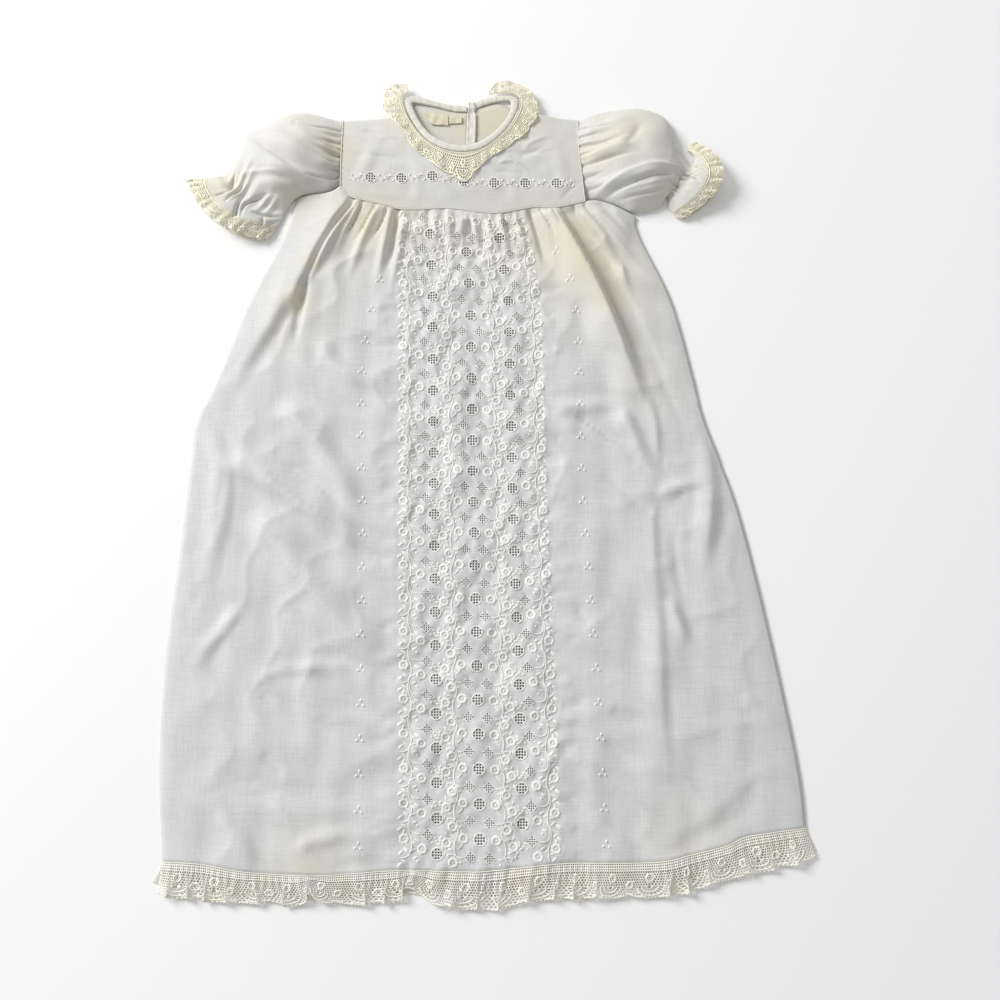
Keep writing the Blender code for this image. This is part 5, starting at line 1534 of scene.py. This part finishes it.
def make_label(name, node, corners, material, curl):
    """A bare woven label with turned ends, stitched down at its corners."""
    a, b, c, d = (np.array(point) for point in corners)
    top = np.linspace(a, b, LABEL_COLUMNS + 1)
    bottom = np.linspace(c, d, LABEL_COLUMNS + 1)
    plan = np.stack([top * (1 - t) + bottom * t for t in np.linspace(0, 1, LABEL_ROWS + 1)])
    across = np.linspace(-1, 1, LABEL_COLUMNS + 1)[None, :]
    down = np.linspace(-1, 1, LABEL_ROWS + 1)[:, None]
    height = PANEL_FLOOR + 0.7 + curl * (1 - across**2) * (1 - down**2) + 0.25 * (abs(across) > 0.9)
    height = height + rumple(plan[:, :, 0], plan[:, :, 1], 23, 16, 0.3)
    grid = np.dstack([plan, height])
    faces = grid_faces(*grid.shape[:2])
    make_cloth(name, node, grid.reshape(-1, 3), faces, material, LABEL_SHELL)


def make_placket(cloth):
    """The placket strip of the back opening, with its folded edges."""
    across = np.linspace(-1, 1, 17)
    down = np.linspace(PLACKET_TOP_Y + 8.6, PLACKET_BOTTOM_Y, 70)
    narrow = OPENING_WIDTH / 2 - 0.5
    half = narrow + (PLACKET_WIDTH / 2 - narrow) * smooth_step((PLACKET_TOP_Y + 0.5 - down) / 1.5)
    x = OPENING_X + half[:, None] * across[None, :] + 0.25 * np.sin(down / 9)[:, None]
    y = np.broadcast_to(down[:, None], x.shape)
    height = PANEL_TOP + 0.35 * (abs(across)[None, :] > 0.6) - 0.7 * (abs(across)[None, :] > 0.97)
    height = height + rumple(x, y, 13, 14, 0.18) + 1.2 * smooth_step((y - PLACKET_TOP_Y) / 4)
    grid = np.dstack([x, y, height])
    faces = grid_faces(*grid.shape[:2])
    piece = make_cloth("back_placket_cloth", "back_placket", grid.reshape(-1, 3), faces, cloth)


def make_cord(name, points, cloth):
    """A thin corded seam along a line of points."""
    curve = bpy.data.curves.new(name, "CURVE")
    curve.dimensions = "3D"
    curve.bevel_depth = SEAM_CORD_RADIUS * MM
    curve.bevel_resolution = 2
    curve.use_fill_caps = True
    line = curve.splines.new("POLY")
    line.points.add(len(points) - 1)
    for point, place in zip(line.points, points):
        point.co = (*(np.array(place) * MM), 1)
    add_piece(name, curve, cloth)


def make_seams(skirt, yoke, cloth):
    """The corded armholes and the yoke's lower seam."""
    for side, edge in (("left", yoke[:, 0]), ("right", yoke[:, -1])):
        along = np.linspace(0, 1, 60)
        line = read_at(edge, along)
        line[:, 2] += 0.15 + 0.18 * np.sin(along * 75)
        line[:, 0] += 0.12 * np.sin(along * 51)
        make_cord(f"{side}_armhole_seam", line, cloth)
    seam = skirt[0, yoke_columns(SKIRT_COLUMNS)].copy()
    seam[:, 2] += 0.2
    make_cord("yoke_seam", seam, cloth)


class Value:
    """A number of a material that changes over the surface. Python's operators add the nodes."""

    def __init__(self, finish, socket):
        self.finish = finish
        self.socket = socket

    def maths(self, operation, first, second=0.0):
        return self.finish.node("ShaderNodeMath", {"operation": operation}, {0: first, 1: second})

    def __add__(self, other):
        return self.maths("ADD", self, other)

    def __sub__(self, other):
        return self.maths("SUBTRACT", self, other)

    def __rsub__(self, other):
        return self.maths("SUBTRACT", other, self)

    def __mul__(self, other):
        return self.maths("MULTIPLY", self, other)

    def __truediv__(self, other):
        return self.maths("DIVIDE", self, other)

    def __pow__(self, other):
        return self.maths("POWER", self, other)

    __radd__ = __add__
    __rmul__ = __mul__

    def held(self):
        """Kept between nought and one."""
        return self.finish.node("ShaderNodeClamp", {}, {"Value": self})


class Finish:
    """One material with its nodes."""

    def __init__(self, name, roughness, sheen=0.0):
        self.material = bpy.data.materials.new(name)
        self.material.use_nodes = True
        self.tree = self.material.node_tree
        self.shader = self.tree.nodes["Principled BSDF"]
        self.shader.inputs["Roughness"].default_value = roughness
        self.shader.inputs["Sheen Weight"].default_value = sheen
        self.shader.inputs["Sheen Roughness"].default_value = 0.6
        self.place = self.node("ShaderNodeTexCoord", {}, {}, "Object")

    def node(self, kind, settings, values, output=0):
        """A node with its settings and its sockets' values or links. It gives one of its outputs."""
        made = self.tree.nodes.new(kind)
        for key, value in settings.items():
            setattr(made, key, value)
        for key, value in values.items():
            self.feed(made.inputs[key], value)
        return Value(self, made.outputs[output])

    def feed(self, socket, value):
        if isinstance(value, Value):
            self.tree.links.new(value.socket, socket)
        else:
            socket.default_value = value

    def axis(self, name):
        return self.node("ShaderNodeSeparateXYZ", {}, {0: self.place}, name)

    def noise(self, size, detail=2.0, stretch=(1, 1, 1)):
        """Soft noise: size is the length of its patches in millimetres."""
        scale = tuple(1000 / size * share for share in stretch)
        place = self.node("ShaderNodeMapping", {}, {"Vector": self.place, "Scale": scale})
        return self.node("ShaderNodeTexNoise", {}, {"Vector": place, "Scale": 1.0, "Detail": detail}, "Fac")

    def waves(self, direction, pitch, distortion=0.0):
        """Even threads: pitch is their distance in millimetres."""
        place = self.node("ShaderNodeMapping", {}, {"Vector": self.place, "Scale": (1, 1, 1)})
        settings = {"wave_type": "BANDS", "bands_direction": direction}
        values = {"Vector": place, "Scale": 2 * math.pi / 20 / (pitch * MM), "Distortion": distortion}
        return self.node("ShaderNodeTexWave", settings, values, "Fac")

    def near(self, x, y, reach):
        """One at a place of the plan, falling to nought at this reach, in millimetres."""
        flat = self.node("ShaderNodeVectorMath", {"operation": "MULTIPLY"}, {0: self.place, 1: (1, 1, 0)})
        away = self.node(
            "ShaderNodeVectorMath", {"operation": "DISTANCE"}, {0: flat, 1: (x * MM, y * MM, 0)}, "Value"
        )
        return (1 - away / (reach * MM)).held()

    def mixed(self, share, first, second):
        """Two colours mixed by a share."""
        settings = {"data_type": "RGBA"}
        return self.node("ShaderNodeMix", settings, {0: share, 6: first, 7: second}, 2)

    def colour(self, value):
        self.feed(self.shader.inputs["Base Color"], value)

    def bump(self, height, distance, strength=1.0):
        """A relief of this distance in millimetres."""
        values = {"Height": height, "Distance": distance * MM, "Strength": strength}
        normal = self.node("ShaderNodeBump", {}, values)
        self.feed(self.shader.inputs["Normal"], normal)


def lawn_finish():
    """Fine cotton lawn: uneven threads both ways, yellowed a little where it was gathered, with painted shade
    in the valleys of the gathers and in the neck hole.
    """
    finish = Finish("cotton_lawn", 0.9, 0.15)
    # The cream mask: yellowing, and painted shade in the valleys of the gathers and in the neck hole
    yellowing_and_shade = None
    for x, y, reach, strength in YELLOWING_AND_PAINTED_SHADE:
        spot = finish.near(x, y, reach) ** 1.5 * strength
        yellowing_and_shade = spot if yellowing_and_shade is None else yellowing_and_shade + spot
    yellowing_and_shade = yellowing_and_shade + ((finish.axis("Y") - 0.12) * 5).held() * 0.22
    patches = finish.noise(38, 3)
    yellowing_and_shade = (yellowing_and_shade * (0.45 + 1.1 * patches)).held()
    threads = finish.noise(9, 2, (0.7, 13, 1)) * 0.5 + finish.noise(9, 2, (13, 0.7, 1)) * 0.5
    slub = (threads - 0.5) * (0.6 + 4.2 * finish.noise(16, 3)) + 0.56
    plain = finish.mixed(slub.held(), LAWN_GREY, LAWN_WHITE)
    finish.colour(finish.mixed(yellowing_and_shade * 0.85, plain, LAWN_CREAM_AND_SHADE))
    finish.bump(threads * 0.7 + finish.noise(7, 4) * 0.3, 0.2, 0.6)
    return finish.material


def thread_finish():
    """White embroidery cotton with a soft shine, creamy where the cloth is."""
    finish = Finish("embroidery_thread", 0.62, 0.2)
    cream = (finish.near(-30, 215, 90) * 0.6 + finish.near(60, 200, 60) * 0.6 + finish.noise(30) * 0.3).held()
    finish.colour(finish.mixed(cream, THREAD_WHITE, THREAD_CREAM))
    finish.bump(finish.noise(0.7, 2), 0.1, 0.5)
    return finish.material


def lace_finish():
    """Cream cotton lace, paler in patches."""
    finish = Finish("cream_lace", 0.75, 0.2)
    pale = finish.mixed(((finish.noise(16, 3) - 0.35) * 2.6).held(), LACE_CREAM, LACE_PALE)
    upper = ((finish.axis("Y") - 0.1) * 6).held()
    finish.colour(finish.mixed(upper * 0.7, pale, LACE_YELLOW))
    finish.bump(finish.noise(0.6, 2), 0.12, 0.6)
    return finish.material


def cream_finish():
    """The yellowed cotton of the binding and the corded seams."""
    finish = Finish("cream_cotton", 0.85, 0.15)
    finish.colour(finish.mixed(((finish.noise(14, 3) - 0.3) * 2).held(), BINDING_CREAM, BINDING_PALE))
    finish.bump(finish.waves("X", 0.5, 1) * 0.5 + finish.waves("Y", 0.5, 1) * 0.5, 0.12, 0.4)
    return finish.material


def label_finish():
    """Bare ivory tape with a close ribbed weave."""
    finish = Finish("label_tape", 0.7, 0.2)
    finish.colour(finish.mixed(finish.noise(5, 3), LABEL_IVORY, LABEL_PALE))
    finish.bump(finish.waves("Y", 0.45), 0.12, 0.6)
    return finish.material


def pearl_finish():
    """Small pearly buttons."""
    finish = Finish("pearl_button", 0.25)
    finish.colour(finish.mixed(finish.noise(2.5, 3), PEARL_GREY, PEARL_WHITE))
    finish.shader.inputs["Coat Weight"].default_value = 0.4
    return finish.material


def make_floor():
    """The plain pale floor."""
    finish = Finish("pale_floor", 0.9)
    finish.shader.inputs["Base Color"].default_value = FLOOR_WHITE
    signs = ((-1, -1), (1, -1), (1, 1), (-1, 1))
    corners = [(x * FLOOR_HALF, y * FLOOR_HALF, FLOOR_HEIGHT) for x, y in signs]
    mesh = bpy.data.meshes.new("floor")
    mesh.from_pydata(corners, [], [(0, 1, 2, 3)])
    mesh.materials.append(finish.material)
    floor = bpy.data.objects.new("floor", mesh)
    bpy.context.collection.objects.link(floor)


def make_daylight():
    """Soft daylight from a window to the left, past the neck of the gown."""
    lamp = bpy.data.lights.new("daylight", "AREA")
    lamp.shape = "DISK"
    lamp.size = WINDOW_SIZE
    lamp.energy = WINDOW_LIGHT
    light = bpy.data.objects.new("daylight", lamp)
    light.location = WINDOW_PLACE
    light.rotation_euler = Vector(WINDOW_PLACE).to_track_quat("Z", "Y").to_euler()
    bpy.context.collection.objects.link(light)


def make_studio():
    """The camera at the photo's angle, and the soft light."""
    tilt = math.radians(CAMERA_TILT)
    target = Vector(CAMERA_TARGET)
    camera = bpy.data.objects.new("camera", bpy.data.cameras.new("camera"))
    camera.data.sensor_width = SENSOR_WIDTH
    camera.data.lens = SENSOR_WIDTH * FOCAL_PIXELS / PHOTO_PIXELS
    camera.data.clip_start = 0.01
    camera.location = target + CAMERA_DISTANCE * Vector((0, -math.sin(tilt), math.cos(tilt)))
    camera.rotation_euler = (camera.location - target).to_track_quat("Z", "Y").to_euler()
    bpy.context.collection.objects.link(camera)
    bpy.context.scene.camera = camera
    bpy.context.scene.view_settings.view_transform = "Standard"
    world = bpy.data.worlds.new("studio")
    world.use_nodes = True
    world.node_tree.nodes["Background"].inputs["Color"].default_value = (1, 1, 1, 1)
    world.node_tree.nodes["Background"].inputs["Strength"].default_value = WORLD_LIGHT
    bpy.context.scene.world = world
    make_daylight()


def main():
    make_studio()
    make_floor()
    lawn = lawn_finish()
    thread = thread_finish()
    lace = lace_finish()
    cream = cream_finish()
    label = label_finish()
    pearl = pearl_finish()

    skirt = make_skirt_front(lawn, thread)
    skirt_back = make_skirt_back(lawn)
    binding = make_binding(cream, thread)
    yoke = make_yoke_front(skirt, binding, lawn, thread)
    make_yoke_backs(skirt_back, binding, lawn)
    make_placket(cream)
    make_seams(skirt, yoke, lawn)
    make_sleeve("left", LEFT_SLEEVE, LEFT_SLEEVE_FOLDS, LEFT_SLEEVE_CREASES, LEFT_CUFF_LACE, lawn, lace)
    make_sleeve("right", RIGHT_SLEEVE, RIGHT_SLEEVE_FOLDS, RIGHT_SLEEVE_CREASES, RIGHT_CUFF_LACE, lawn, lace)
    neck_lace = neck_lace_grid(yoke, binding)
    make_lace("neck_lace_net", "neck_lace", NECK_LACE_TRIM, neck_lace, lace)
    front_lace = hem_lace_grid(skirt)
    make_lace("front_hem_lace_net", "hem_lace_front", HEM_LACE, front_lace, lace)
    back_lace = back_hem_lace_grid(skirt_back)
    make_lace("back_hem_lace_net", "hem_lace_back", HEM_LACE, back_lace, lace)
    make_label("main_label_tape", "label_main", LABEL_MAIN, label, 0.5)
    make_label("size_label_tape", "label_size", LABEL_SIZE, label, 0.3)
    for name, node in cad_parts.items():
        if name.startswith("button"):
            node.data.materials.clear()
            node.data.materials.append(pearl)


main()
